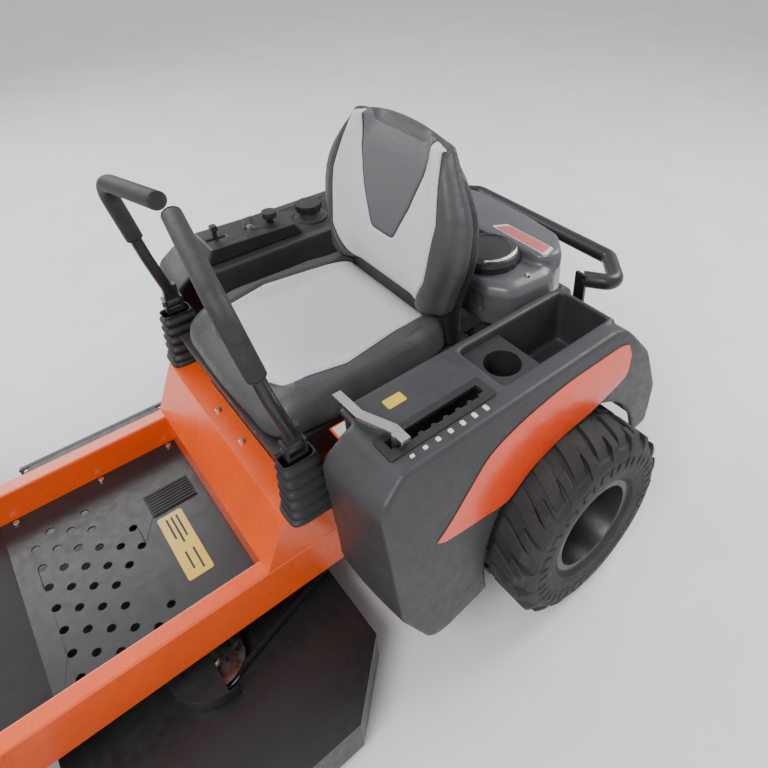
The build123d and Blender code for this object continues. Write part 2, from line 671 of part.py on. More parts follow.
# ================================================================ seat
HINGE_X = 150
HINGE_PIN_R = 6
PAN_HALF = SEAT_HALF - 12
PAN_REAR_Y = -28
CUSHION_Z = PAN_Z + PAN_H
CUSHION_TOP = CUSHION_Z + CUSHION_H
CUSHION_REAR_Y = -78
BACK_FACE = [(-52, CUSHION_TOP + 4), (-44, 760), (-26, 918), (-6, BACK_TOP - 26)]


def seat_mount():
    """Hinge ears at the front of the seat box and two rubber rests behind."""
    mount = block(-HINGE_X - 10, HINGE_X + 10, SEAT_HINGE_Y - 14, SEAT_HINGE_Y + 14, BOX_TOP,
                  BOX_TOP + 3)
    for side in (-1, 1):
        mount += block(side * (HINGE_X - 10), side * (HINGE_X + 10), SEAT_HINGE_Y - 12,
                       SEAT_HINGE_Y + 12, BOX_TOP, SEAT_HINGE_Z + 11)
    mount -= rod_x(HINGE_PIN_R + RUN_CLEAR, -HINGE_X - 20, HINGE_X + 20, SEAT_HINGE_Y,
                   SEAT_HINGE_Z)
    rests = [rod_z(18, BOX_TOP, PAN_Z - SEAT_GAP, side * HINGE_X, -170) for side in (-1, 1)]
    return [mount] + rests


def seat_pan():
    """Black moulded pan under the cushion, with its hinge pins."""
    outline = [(SEAT_FRONT_Y + 14, PAN_Z + 8), (SEAT_FRONT_Y + 4, CUSHION_Z), (PAN_REAR_Y, CUSHION_Z),
               (PAN_REAR_Y, PAN_Z), (SEAT_FRONT_Y + 30, PAN_Z)]
    pan = side_prism(outline, -PAN_HALF, PAN_HALF)
    for side in (-1, 1):
        x0, x1 = sorted((side * (HINGE_X + 11), side * (HINGE_X + 21)))
        pan += block(x0, x1, SEAT_HINGE_Y - 10, SEAT_HINGE_Y + 10, SEAT_HINGE_Z - 9, PAN_Z)
        x0, x1 = sorted((side * (HINGE_X - 14), side * (HINGE_X + 15)))
        pan += rod_x(HINGE_PIN_R, x0, x1, SEAT_HINGE_Y, SEAT_HINGE_Z)
    return pan


def seat_cushion():
    """Padded seat."""
    outline = [(SEAT_FRONT_Y, CUSHION_Z), (SEAT_FRONT_Y, CUSHION_TOP - 26),
               (SEAT_FRONT_Y + 24, CUSHION_TOP), (CUSHION_REAR_Y, CUSHION_TOP),
               (CUSHION_REAR_Y, CUSHION_Z)]
    return side_prism(outline, -SEAT_HALF, SEAT_HALF)


def seat_back():
    """Padded backrest against its shell."""
    front = [(-64, BACK_TOP), (-92, BACK_TOP - 20), (-128, 810), (-152, CUSHION_TOP + 4)]
    top = [(-16, BACK_TOP)]
    return side_prism(BACK_FACE + top + front, -BACK_HALF, BACK_HALF)


def seat_shell():
    """Plastic shell behind the backrest, rising from the pan."""
    rear = [(20, BACK_TOP - 40), (16, 880), (2, 700), (PAN_REAR_Y, CUSHION_Z)]
    foot = [(CUSHION_REAR_Y, CUSHION_Z), (CUSHION_REAR_Y, CUSHION_TOP + 4)]
    half = BACK_HALF - 16
    return side_prism(foot + BACK_FACE + rear, -half, half)


# ================================================================ cutting height
ARM_LENGTH = DECK_TRAVEL / (2 * sin(radians(LEVER_TURN / 2)))
ARM_DROP = DECK_TRAVEL / 2
ARM_REACH = ARM_LENGTH * cos(radians(LEVER_TURN / 2))
ARM_PIN_R = 7
HANGER_X = 214
HANGER_T = 6
LEVER_RADIUS = 288


def height_lever():
    """Cross shaft with its lift arms, and the lever through the left fender."""
    y, z = LEVER_SLOT_MID_Y, LIFT_SHAFT_Z
    lever = rod_x(LIFT_SHAFT_R, -BOX_HALF, SLOT_X1 - 8, y, z)
    for side in (-1, 1):
        x0, x1 = sorted((side * (HANGER_X - HANGER_T - 10), side * (HANGER_X - HANGER_T - 2)))
        arm = Pos(0, y, z) * Rot(LEVER_TURN / 2, 0, 0) * block(x0, x1, -ARM_LENGTH - 13, 0, -13, 13)
        lever += arm
        pin0, pin1 = sorted((side * (HANGER_X - HANGER_T - 10), side * (HANGER_X + HANGER_T + 4)))
        lever += rod_x(ARM_PIN_R, pin0, pin1, y - ARM_REACH, z - ARM_DROP)
    strap_x = (SLOT_X0 + SLOT_X1) / 2
    strap = block(strap_x - 4, strap_x + 4, -11, 11, 0, LEVER_RADIUS)
    lever += Pos(0, y, z) * Rot(LEVER_TURN / 2, 0, 0) * strap
    top_y = y - LEVER_RADIUS * sin(radians(LEVER_TURN / 2))
    handle_z = FENDER_TOP + HANDLE_LIFT
    handle = [(strap_x + 22, top_y + 12), (strap_x - 16, top_y + 12), (344, top_y - 16),
              (276, top_y - 18), (276, top_y - 36), (350, top_y - 34), (strap_x - 10, top_y - 8),
              (strap_x + 22, top_y - 8)]
    lever += plan_prism(handle, handle_z, handle_z + HANDLE_THICK)
    lever += block(strap_x - 4, strap_x + 4, top_y - 11, top_y + 11, FENDER_TOP - 16,
                   handle_z + HANDLE_THICK)
    return lever


# ================================================================ deck
SPINDLE_R = 12
DECK_WHEEL_R = 50
DECK_WHEEL_X = 300
DECK_WHEEL_Y = DECK_FRONT_Y - DECK_WHEEL_R - 4
DECK_WHEEL_Z = 62


def deck_outline(inset):
    """Plan outline of the deck with cut corners, inset by a wall."""
    half = DECK_HALF - inset
    front, rear = DECK_FRONT_Y + inset, DECK_REAR_Y - inset
    cut = 120
    return [(-half, front + cut), (-half + cut, front), (half - cut, front), (half, front + cut),
            (half, rear - cut), (half - cut, rear), (-half + cut, rear), (-half, rear - cut)]


def deck_shell():
    """Stamped deck, open below, with spindle bosses and front wheel brackets."""
    deck = plan_prism(deck_outline(0), DECK_LOW, DECK_TOP)
    deck -= plan_prism(deck_outline(DECK_T), DECK_LOW - 1, DECK_TOP - DECK_T)
    deck -= block(-DECK_HALF - 1, -DECK_HALF + 90, CHUTE_Y0, CHUTE_Y1, DECK_LOW - 1,
                  DECK_TOP - DECK_T)
    for x in (-SPINDLE_X, SPINDLE_X):
        deck += rod_z(36, DECK_TOP - 32, DECK_TOP + 3, x, SPINDLE_Y)
        deck -= rod_z(SPINDLE_R + RUN_CLEAR, DECK_LOW, DECK_TOP + 4, x, SPINDLE_Y)
    for x in (-DECK_WHEEL_X, DECK_WHEEL_X):
        for offset in (-26, 20):
            deck += block(x + offset, x + offset + 6, DECK_WHEEL_Y - 12, DECK_FRONT_Y,
                          DECK_WHEEL_Z - 12, DECK_WHEEL_Z + 12)
        deck += rod_x(SWING_PIN_R, x - 28, x + 28, DECK_WHEEL_Y, DECK_WHEEL_Z)
    return deck


def deck_hangers():
    """Two slotted plates that hang the deck on the lift arms' pins."""
    pin_y, pin_z = LEVER_SLOT_MID_Y - ARM_REACH, LIFT_SHAFT_Z - ARM_DROP
    outline = [(DECK_REAR_Y - 80, DECK_TOP), (DECK_REAR_Y - 12, DECK_TOP),
               (pin_y + 26, pin_z - 20), (pin_y + 26, pin_z + 18), (pin_y - 26, pin_z + 18),
               (pin_y - 30, pin_z - 30)]
    plate = side_prism(outline, HANGER_X - HANGER_T / 2, HANGER_X + HANGER_T / 2)
    sweep_y = ARM_LENGTH - ARM_REACH
    slot_z = ARM_PIN_R + 1
    plate -= block(HANGER_X - 10, HANGER_X + 10, pin_y - sweep_y - ARM_PIN_R - 2,
                   pin_y + ARM_PIN_R + 2, pin_z - slot_z, pin_z + slot_z)
    return both(plate)


def deck_covers():
    """Two low belt covers over the spindle pulleys."""
    covers = []
    for side in (-1, 1):
        outer = rod_z(PULLEY_R + 24, DECK_TOP, BELT_Z + BELT_W + 17, side * SPINDLE_X, SPINDLE_Y)
        outer -= rod_z(PULLEY_R + 21, DECK_TOP - 1, BELT_Z + BELT_W + 14.5, side * SPINDLE_X,
                       SPINDLE_Y)
        gap = side * (SPINDLE_X - PULLEY_R - 30)
        far = side * (SPINDLE_X + PULLEY_R + 22)
        x0, x1 = sorted((gap, far))
        outer -= block(x0, x1, SPINDLE_Y, SPINDLE_Y + 100, DECK_TOP - 1, BELT_Z + BELT_W + 18)
        x0, x1 = sorted((gap, side * (SPINDLE_X - 20)))
        outer -= block(x0, x1, SPINDLE_Y - 100, SPINDLE_Y + 1, DECK_TOP - 1, BELT_Z + BELT_W + 14.5)
        covers.append(outer)
    return covers


def discharge_chute():
    """Rubber-edged deflector hinged over the side opening."""
    x, z = -DECK_HALF - CHUTE_BARREL_R - SEAT_GAP, DECK_TOP - 4
    plate = [(x, z + 3), (x, z - 3), (x - CHUTE_OUT, 52), (x - CHUTE_OUT, 58)]
    face = Plane.XZ.offset(-CHUTE_Y1 + 3) * make_face(Polyline(*plate, close=True))
    chute = extrude(face, amount=CHUTE_Y1 - CHUTE_Y0 - 6)
    chute += rod_y(CHUTE_BARREL_R, CHUTE_Y0 + 3, CHUTE_Y1 - 3, x, z)
    cheek = [(x - 3, z - 3), (x - CHUTE_OUT + 2, 55), (x - CHUTE_OUT + 2, 46), (x - 3, 60)]
    for y in (CHUTE_Y1 - 7, CHUTE_Y0 + 7):
        face = Plane.XZ.offset(-y - 2) * make_face(Polyline(*cheek, close=True))
        chute += extrude(face, amount=4)
    return chute


def pulley(radius, z0, z1, x, y):
    """Grooved belt pulley on a shaft."""
    mid = (z0 + z1) / 2
    return turned_z([(0, z0), (radius, z0), (radius - 10, mid - 2), (radius - 10, mid + 2),
                     (radius, z1), (0, z1)], x, y, 0)


BELT_LOW = BELT_Z - 2
BELT_HIGH = BELT_Z + BELT_W + 2


def spindle():
    """Blade spindle: shaft, pulley and nut."""
    shaft = rod_z(SPINDLE_R, BLADE_Z + 6, BELT_HIGH, SPINDLE_X, SPINDLE_Y)
    shaft += pulley(PULLEY_R, BELT_LOW, BELT_HIGH, SPINDLE_X, SPINDLE_Y)
    shaft += rod_z(14, BELT_HIGH, BELT_HIGH + 8, SPINDLE_X, SPINDLE_Y)
    return shaft


def blade():
    """Mower blade with lifted tips, its boss and bolt."""
    wing = [(-BLADE_R, -30), (BLADE_R - 60, -30), (BLADE_R, -22), (BLADE_R, 30),
            (60 - BLADE_R, 30), (-BLADE_R, 22)]
    steel = plan_prism(wing, BLADE_Z, BLADE_Z + 6)
    for turn in (0, 180):
        lift = block(BLADE_R - 90, BLADE_R - 14, 22, 30, BLADE_Z + 6, BLADE_Z + 26)
        steel += Rot(0, 0, turn) * lift
    steel = Rot(0, 0, 90) * steel
    steel += rod_z(15, BLADE_Z - 8, BLADE_Z, 0, 0)
    return Pos(SPINDLE_X, SPINDLE_Y, 0) * steel


def crank_pulley():
    """Engine crankshaft stub with the blade clutch and its pulley."""
    shaft = rod_z(CRANK_R, BELT_LOW, RAIL_TOP + 38, 0, CRANK_Y)
    shaft += pulley(PULLEY_R - 6, BELT_LOW, BELT_HIGH, 0, CRANK_Y)
    shaft += rod_z(54, BELT_HIGH + 6, BELT_HIGH + 52, 0, CRANK_Y)
    shaft += rod_z(20, BELT_HIGH, BELT_HIGH + 6, 0, CRANK_Y)
    return shaft


def belt_hull(offset, z0, z1):
    """Solid spanning the three pulleys with a given radius offset."""
    circles = [(-SPINDLE_X, SPINDLE_Y, PULLEY_R), (SPINDLE_X, SPINDLE_Y, PULLEY_R),
               (0, CRANK_Y, PULLEY_R - 6)]
    edges = [CenterArc((x, y), radius + offset, 0, 360) for x, y, radius in circles]
    return Pos(0, 0, z0) * extrude(make_hull(edges), amount=z1 - z0)


def deck_belt():
    """Flat stand-in of the V belt round both spindles and the clutch pulley."""
    loop = belt_hull(0, BELT_Z + 4.7, BELT_Z + 8.3)
    loop -= belt_hull(-9.4, BELT_Z, BELT_Z + BELT_W)
    return loop


def deck_wheel():
    """Anti-scalp wheel at the front of the deck."""
    return turned_x([(SWING_PIN_R + RUN_CLEAR, -19), (DECK_WHEEL_R - 4, -19), (DECK_WHEEL_R, -14),
                     (DECK_WHEEL_R, 14), (DECK_WHEEL_R - 4, 19), (SWING_PIN_R + RUN_CLEAR, 19)],
                    DECK_WHEEL_X, DECK_WHEEL_Y, DECK_WHEEL_Z)


# ================================================================ small pieces
def fastener_points():
    """Places of the bolt heads on the platform and on the seat box."""
    platform = [(x, y, PLATFORM_Z) for x in (-238, 238) for y in (-640, -800, -980)]
    box = [(x, y, BOX_TOP) for x in (-60, 60) for y in (-545, -160)]
    return platform + box


def fasteners():
    """Hexagon bolt heads."""
    head = 7
    bolts = []
    for x, y, z in fastener_points():
        bolts.append(Pos(x, y, z) * extrude(RegularPolygon(head, 6), amount=5))
    return bolts


def cup_holder():
    """Insert in the front of the storage bin with a round well."""
    top = FENDER_TOP - CUP_DROP
    x = (BIN_X0 + BIN_X1) / 2
    length = 2 * CUP_R + 34
    insert = block(BIN_X0 + 1, BIN_X1 - 1, BIN_Y0 + 1, BIN_Y0 + length, BIN_FLOOR, top)
    insert -= rod_z(CUP_R, top - CUP_DEPTH, top + 1, x, BIN_Y0 + length / 2)
    return insert


# ================================================================ hand-over
SINGLE = {
    "front_axle_beam": front_axle_beam, "engine_plate": engine_plate, "seat_box": seat_box,
    "foot_platform": foot_platform, "left_fender": left_fender, "right_fender": right_fender,
    "cup_holder": cup_holder, "fuel_tank": fuel_tank, "fuel_cap": fuel_cap,
    "control_panel": control_panel, "ignition_key": ignition_key,
    "throttle_lever": throttle_lever, "pto_knob": pto_knob, "engine_block": engine_block,
    "engine_cover": engine_cover, "muffler": muffler, "rear_bumper": rear_bumper,
    "battery": battery, "seat_pan": seat_pan, "seat_cushion": seat_cushion,
    "seat_back": seat_back, "seat_shell": seat_shell, "height_lever": height_lever,
    "deck_shell": deck_shell, "discharge_chute": discharge_chute, "crank_pulley": crank_pulley,
    "deck_belt": deck_belt,
}
PAIRED = {
    "frame_rail": frame_rail, "transaxle": transaxle, "rear_rim": rear_rim,
    "rear_tyre": rear_tyre, "caster_fork": caster_fork, "caster_rim": caster_rim,
    "caster_tyre": caster_tyre, "lever_boot": lever_boot,
    "lever_base": lever_base, "lever_tube": lever_tube, "lever_grip": lever_grip,
    "spindle": spindle, "blade": blade, "deck_wheel": deck_wheel,
}
GROUPED = {
    "seat_mount": seat_mount, "deck_hangers": deck_hangers, "deck_covers": deck_covers,
    "fasteners": fasteners, "lever_brackets": lever_brackets,
}

for name, make in SINGLE.items():
    save(name, make())
for name, make in PAIRED.items():
    shape = make()
    save(f"left_{name}", shape)
    save(f"right_{name}", mirrored(shape))
for name, make in GROUPED.items():
    save(name, *make())
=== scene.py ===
"""Looks of the zero turn mower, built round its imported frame.

Metres, +Z up, the front faces -Y and +X is the driver's left.
"""
import json
from math import cos, pi, radians, sin, sqrt

import bmesh
import bpy
import numpy as np
from mathutils import Matrix, Vector


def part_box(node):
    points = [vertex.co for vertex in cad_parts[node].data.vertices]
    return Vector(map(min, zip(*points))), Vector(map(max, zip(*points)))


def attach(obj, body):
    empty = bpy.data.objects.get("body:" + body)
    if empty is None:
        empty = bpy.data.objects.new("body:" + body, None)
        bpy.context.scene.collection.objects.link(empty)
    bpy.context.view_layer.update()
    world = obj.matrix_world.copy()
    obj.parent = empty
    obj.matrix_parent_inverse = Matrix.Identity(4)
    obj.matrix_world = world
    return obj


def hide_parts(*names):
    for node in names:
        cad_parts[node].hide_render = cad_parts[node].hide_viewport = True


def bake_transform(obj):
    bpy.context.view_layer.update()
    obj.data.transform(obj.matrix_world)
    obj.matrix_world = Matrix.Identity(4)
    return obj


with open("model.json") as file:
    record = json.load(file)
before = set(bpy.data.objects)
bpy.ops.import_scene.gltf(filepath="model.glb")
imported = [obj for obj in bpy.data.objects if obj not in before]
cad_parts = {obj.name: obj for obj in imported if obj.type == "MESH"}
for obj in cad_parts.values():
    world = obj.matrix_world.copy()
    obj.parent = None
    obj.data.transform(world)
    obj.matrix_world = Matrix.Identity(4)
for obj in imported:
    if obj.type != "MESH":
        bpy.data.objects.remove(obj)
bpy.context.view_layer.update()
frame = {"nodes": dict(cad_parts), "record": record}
NODES = frame["nodes"]
BODY_OF = {node: body for body, names in frame["record"]["behaviour"]["bodies"].items()
           for node in names}
MM = 0.001


# ---------------------------------------------------------------- materials
def new_material(name, colour, rough, metal=0.0, coat=0.0, specular=0.5):
    """A material with its colour, roughness and gloss on the shader's own sockets."""
    material = bpy.data.materials.new(name)
    material.use_nodes = True
    shader = material.node_tree.nodes["Principled BSDF"]
    shader.inputs["Base Color"].default_value = (*colour, 1)
    shader.inputs["Roughness"].default_value = rough
    shader.inputs["Metallic"].default_value = metal
    shader.inputs["Coat Weight"].default_value = coat
    shader.inputs["Coat Roughness"].default_value = 0.18
    shader.inputs["Specular IOR Level"].default_value = specular
    return material, material.node_tree, shader


def add_noise(tree, scale, detail=4.0, rough=0.55):
    """Noise texture in object space."""
    coords = tree.nodes.new("ShaderNodeTexCoord")
    texture = tree.nodes.new("ShaderNodeTexNoise")
    texture.inputs["Scale"].default_value = scale
    texture.inputs["Detail"].default_value = detail
    texture.inputs["Roughness"].default_value = rough
    tree.links.new(coords.outputs["Object"], texture.inputs["Vector"])
    return texture.outputs["Fac"]


def add_ramp(tree, source, low, high, start=0.35, end=0.65):
    """Two-colour ramp over a value."""
    ramp = tree.nodes.new("ShaderNodeValToRGB")
    ramp.color_ramp.elements[0].position = start
    ramp.color_ramp.elements[1].position = end
    ramp.color_ramp.elements[0].color = (*low, 1)
    ramp.color_ramp.elements[1].color = (*high, 1)
    tree.links.new(source, ramp.inputs["Fac"])
    return ramp.outputs["Color"]


def add_range(tree, source, low, high, start=0.3, end=0.7):
    """Value remapped to a range."""
    node = tree.nodes.new("ShaderNodeMapRange")
    node.inputs["From Min"].default_value = start
    node.inputs["From Max"].default_value = end
    node.inputs["To Min"].default_value = low
    node.inputs["To Max"].default_value = high
    tree.links.new(source, node.inputs["Value"])
    return node.outputs["Result"]


def add_bump(tree, shader, height, strength, distance):
    """Bump on top of whatever bump the shader already has."""
    bump = tree.nodes.new("ShaderNodeBump")
    bump.inputs["Strength"].default_value = strength
    bump.inputs["Distance"].default_value = distance
    tree.links.new(height, bump.inputs["Height"])
    if shader.inputs["Normal"].is_linked:
        tree.links.new(shader.inputs["Normal"].links[0].from_socket, bump.inputs["Normal"])
    tree.links.new(bump.outputs["Normal"], shader.inputs["Normal"])


def shade(colour, factor):
    """Colour scaled by a factor."""
    return tuple(min(1.0, c * factor) for c in colour)


def finish_material(name, colour, rough, grain, depth, metal=0.0, coat=0.0, spread=0.12,
                    blotch=9.0, specular=0.5):
    """Surface with colour drift, roughness drift and a fine grain."""
    material, tree, shader = new_material(name, colour, rough, metal, coat, specular)
    drift = add_noise(tree, blotch)
    tree.links.new(add_ramp(tree, drift, shade(colour, 1 - spread), shade(colour, 1 + spread)),
                   shader.inputs["Base Color"])
    wear = add_noise(tree, blotch * 6)
    tree.links.new(add_range(tree, wear, max(0.03, rough - 0.07), min(1, rough + 0.09)),
                   shader.inputs["Roughness"])
    add_bump(tree, shader, add_noise(tree, grain, 2.0), 0.35, depth)
    return material


def mix_colours(tree, factor, first, second):
    """Mix of two colours or colour sockets."""
    mix = tree.nodes.new("ShaderNodeMix")
    mix.data_type = "RGBA"
    tree.links.new(factor, mix.inputs["Factor"])
    for value, socket in ((first, mix.inputs[6]), (second, mix.inputs[7])):
        if isinstance(value, tuple):
            socket.default_value = (*value, 1)
        else:
            tree.links.new(value, socket)
    return mix.outputs[2]


ORANGE = (0.80, 0.088, 0.006)
BLACK = (0.012, 0.012, 0.013)
FENDER_GREY = (0.034, 0.034, 0.036)
MID_GREY = (0.085, 0.085, 0.088)

M = {
    "orange_steel": finish_material("orange_powder_coat", ORANGE, 0.3, 700, 0.00012, coat=0.5,
                                    spread=0.06),
    "black_steel": finish_material("black_powder_coat", BLACK, 0.42, 500, 0.0002, coat=0.15),
    "grey_plastic": finish_material("grey_moulded_plastic", FENDER_GREY, 0.46, 850, 0.0002),
    "engine_plastic": finish_material("engine_plastic", MID_GREY, 0.36, 900, 0.0001, coat=0.2),
    "black_plastic": finish_material("black_moulded_plastic", (0.016, 0.016, 0.017), 0.45, 800,
                                     0.0002),
    "tyre_rubber": finish_material("tyre_rubber", (0.017, 0.017, 0.017), 0.68, 260, 0.0004,
                                   spread=0.35, blotch=14),
    "soft_rubber": finish_material("soft_rubber", (0.014, 0.014, 0.015), 0.55, 380, 0.0002),
    "grip_foam": finish_material("grip_foam", (0.020, 0.020, 0.021), 0.62, 420, 0.0006,
                                 spread=0.25, blotch=60),
    "seat_vinyl": finish_material("seat_vinyl", (0.12, 0.12, 0.125), 0.5, 500, 0.0004),
    "bare_steel": finish_material("zinc_plated_steel", (0.62, 0.61, 0.58), 0.28, 300, 0.0001,
                                  metal=1.0),
    "cast_alloy": finish_material("cast_alloy", (0.16, 0.16, 0.17), 0.5, 220, 0.0006, metal=0.8),
    "tank_plastic": finish_material("tank_plastic", (0.03, 0.03, 0.032), 0.5, 500, 0.0003),
    "decal_orange": finish_material("decal_orange", (0.84, 0.060, 0.005), 0.30, 600, 0.00005,
                                    coat=0.6, spread=0.05),
    "decal_yellow": finish_material("decal_yellow", (0.62, 0.42, 0.02), 0.3, 600, 0.00005,
                                    coat=0.5),
    "decal_white": finish_material("decal_white", (0.62, 0.62, 0.60), 0.35, 600, 0.00005),
    "decal_red": finish_material("decal_red", (0.50, 0.12, 0.11), 0.3, 600, 0.00005, coat=0.4),
}


# ---------------------------------------------------------------- mesh helpers
def add_piece(name, mesh_or_bm, material, body, replaces=(), smooth=40):
    """Put a mesh in the scene, riding on a body."""
    if isinstance(mesh_or_bm, bmesh.types.BMesh):
        bmesh.ops.recalc_face_normals(mesh_or_bm, faces=mesh_or_bm.faces)
        mesh = bpy.data.meshes.new(name)
        mesh_or_bm.to_mesh(mesh)
        mesh_or_bm.free()
    else:
        mesh = mesh_or_bm
    piece = bpy.data.objects.new(name, mesh)
    bpy.context.scene.collection.objects.link(piece)
    mesh.materials.clear()
    mesh.materials.append(material)
    if smooth:
        mesh.shade_smooth()
        mesh.set_sharp_from_angle(angle=radians(smooth))
    if body:
        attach(piece, body)
    if replaces:
        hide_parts(*replaces)
    return piece


def prism(axis, outline, low, high):
    """Closed prism with its outline across an axis (0, 1 or 2)."""
    bm = bmesh.new()
    others = [i for i in range(3) if i != axis]
    ends = []
    for level in (low, high):
        ring = []
        for u, v in outline:
            point = [0, 0, 0]
            point[axis], point[others[0]], point[others[1]] = level, u, v
            ring.append(bm.verts.new(point))
        ends.append(ring)
    bm.faces.new(ends[0])
    bm.faces.new(list(reversed(ends[1])))
    count = len(outline)
    for i in range(count):
        j = (i + 1) % count
        bm.faces.new((ends[0][i], ends[0][j], ends[1][j], ends[1][i]))
    bmesh.ops.recalc_face_normals(bm, faces=bm.faces)
    return bm


def round_outline(points, radii, steps=6):
    """Outline with each corner rounded by its radius."""
    result = []
    count = len(points)
    radii = radii if isinstance(radii, (list, tuple)) else [radii] * count
    for i in range(count):
        here = Vector(points[i])
        before = Vector(points[i - 1]) - here
        after = Vector(points[(i + 1) % count]) - here
        half = before.angle(after) / 2
        reach = min(radii[i] / max(0.05, sin(half) / cos(half)), before.length * 0.48,
                    after.length * 0.48)
        start = here + before.normalized() * reach
        end = here + after.normalized() * reach
        for step in range(steps + 1):
            t = step / steps
            result.append(tuple((1 - t) ** 2 * start + 2 * t * (1 - t) * here + t * t * end))
    return result


def block(low, high):
    """Box between two corners as a bmesh."""
    outline = [(low[0], low[1]), (high[0], low[1]), (high[0], high[1]), (low[0], high[1])]
    return prism(2, outline, low[2], high[2])


def loft(rings):
    """Closed skin over rings that have the same number of points."""
    bm = bmesh.new()
    verts = [[bm.verts.new(p) for p in ring] for ring in rings]
    count = len(rings[0])
    for a, b in zip(verts, verts[1:]):
        for i in range(count):
            j = (i + 1) % count
            bm.faces.new((a[i], a[j], b[j], b[i]))
    bm.faces.new(list(reversed(verts[0])))
    bm.faces.new(verts[-1])
    bmesh.ops.recalc_face_normals(bm, faces=bm.faces)
    return bm


def closed_skin(rings):
    """Skin over rings whose last ring joins the first, as round a tyre."""
    bm = bmesh.new()
    verts = [[bm.verts.new(p) for p in ring] for ring in rings]
    count = len(rings[0])
    for a, b in zip(verts, verts[1:] + verts[:1]):
        for i in range(count):
            j = (i + 1) % count
            bm.faces.new((a[i], a[j], b[j], b[i]))
    return bm


def ease_edges(piece, width, segments=1, angle=30):
    """Bevel modifier on the edges sharper than an angle in degrees."""
    bevel = piece.modifiers.new("eased_edges", "BEVEL")
    bevel.width = width
    bevel.segments = segments
    bevel.limit_method = "ANGLE"
    bevel.angle_limit = radians(angle)
    return bevel


def signed_power(value, power):
    """Power of a number's size with its sign kept."""
    return (1 if value > 0 else -1) * abs(value) ** power


def rectangle(x0, y0, x1, y1):
    """Corners of a rectangle."""
    return [(x0, y0), (x1, y0), (x1, y1), (x0, y1)]


def to_mesh(bm, name="part"):
    """Mesh from a bmesh, which is freed."""
    mesh = bpy.data.meshes.new(name)
    bm.to_mesh(mesh)
    bm.free()
    return mesh


def combined(base, cuts=(), joins=()):
    """Exact boolean of bmesh solids, as a mesh."""
    scene = bpy.context.scene
    target = bpy.data.objects.new("boolean_base", to_mesh(base))
    scene.collection.objects.link(target)
    tools = [(bm, "UNION") for bm in joins] + [(bm, "DIFFERENCE") for bm in cuts]
    helpers = []
    for bm, mode in tools:
        helper = bpy.data.objects.new("boolean_tool", to_mesh(bm))
        scene.collection.objects.link(helper)
        modifier = target.modifiers.new("cut", "BOOLEAN")
        modifier.operation = mode
        modifier.solver = "EXACT"
        modifier.object = helper
        helpers.append(helper)
    mesh = applied(target)
    for helper in helpers + [target]:
        bpy.data.objects.remove(helper)
    return mesh


def applied(obj):
    """New mesh with an object's modifiers applied."""
    bpy.context.view_layer.update()
    shown = obj.evaluated_get(bpy.context.evaluated_depsgraph_get())
    return bpy.data.meshes.new_from_object(shown)


def moulded(mesh, voxel, rounds, warp=None):
    """Voxel-remeshed, softened copy of a mesh, with an optional warp of its points."""
    holder = bpy.data.objects.new("mould", mesh)
    bpy.context.scene.collection.objects.link(holder)
    remesh = holder.modifiers.new("voxels", "REMESH")
    remesh.mode = "VOXEL"
    remesh.voxel_size = voxel
    soften = holder.modifiers.new("soften", "SMOOTH")
    soften.factor = 0.5
    soften.iterations = rounds
    result = applied(holder)
    bpy.data.objects.remove(holder)
    if warp:
        for vertex in result.vertices:
            vertex.co = warp(vertex.co)
    return result


def cylinder_x(radius, x0, x1, y, z, steps=64):
    """Cylinder along X as a bmesh."""
    ring = [(y + radius * cos(2 * pi * i / steps), z + radius * sin(2 * pi * i / steps))
            for i in range(steps)]
    return prism(0, ring, x0, x1)


def cylinder_z(radius, z0, z1, x, y, steps=48):
    """Cylinder along Z as a bmesh."""
    ring = [(x + radius * cos(2 * pi * i / steps), y + radius * sin(2 * pi * i / steps))
            for i in range(steps)]
    return prism(2, ring, z0, z1)


def mirror_mesh(mesh):
    """Mirror image of a mesh in X."""
    copy = mesh.copy()
    copy.transform(Matrix.Scale(-1, 4, (1, 0, 0)))
    copy.flip_normals()
    return copy


# ---------------------------------------------------------------- CAD nodes that stay
def node_material(node):
    """Material of a CAD node from its slot."""
    slots = {part["node"]: part["material_slot"] for part in frame["record"]["subparts"]}
    return M[slots[node]]


BEVELS = {"frame_rail": 4, "front_axle_beam": 5, "seat_box": 2, "deck_shell": 3, "seat_pan": 8,
          "lever_tube": 2, "lever_grip": 6, "rear_rim": 2, "engine_block": 3,
          "control_panel": 6, "cup_holder": 3,
          "muffler": 4, "transaxle": 8, "fuel_cap": 2, "caster_fork": 2, "caster_tyre": 5}


def dress_cad_nodes():
    """Give every carried-over node its material and eased edges."""
    for node, obj in NODES.items():
        obj.data.materials.clear()
        obj.data.materials.append(node_material(node))
        width = next((w for key, w in BEVELS.items() if key in node), 1)
        weld = obj.modifiers.new("weld", "WELD")
        weld.merge_threshold = 0.00002
        ease_edges(obj, width * MM, 3 if width > 2 else 2, 35)


# ---------------------------------------------------------------- tyres
def tyre_carcass(radius, half, bead_radius, steps=72):
    """Ring of sidewalls and crown as rings round the X axis."""
    profile = [(bead_radius, half - 0.021), (bead_radius + 0.010, half - 0.012),
               (bead_radius + 0.016, half - 0.014), (bead_radius + 0.020, half - 0.006),
               (bead_radius + 0.045, half - 0.001), (bead_radius + 0.058, half + 0.001),
               (bead_radius + 0.062, half - 0.002), (radius * 0.86, half - 0.003),
               (radius * 0.92, half - 0.012), (radius * 0.955, half - 0.030),
               (radius * 0.965, half * 0.5), (radius * 0.968, 0)]
    outline = profile + [(r, -x) for r, x in reversed(profile[:-1])]
    rings = []
    for step in range(steps):
        a = 2 * pi * step / steps
        rings.append([(x, r * cos(a), r * sin(a)) for r, x in outline])
    return closed_skin(rings)


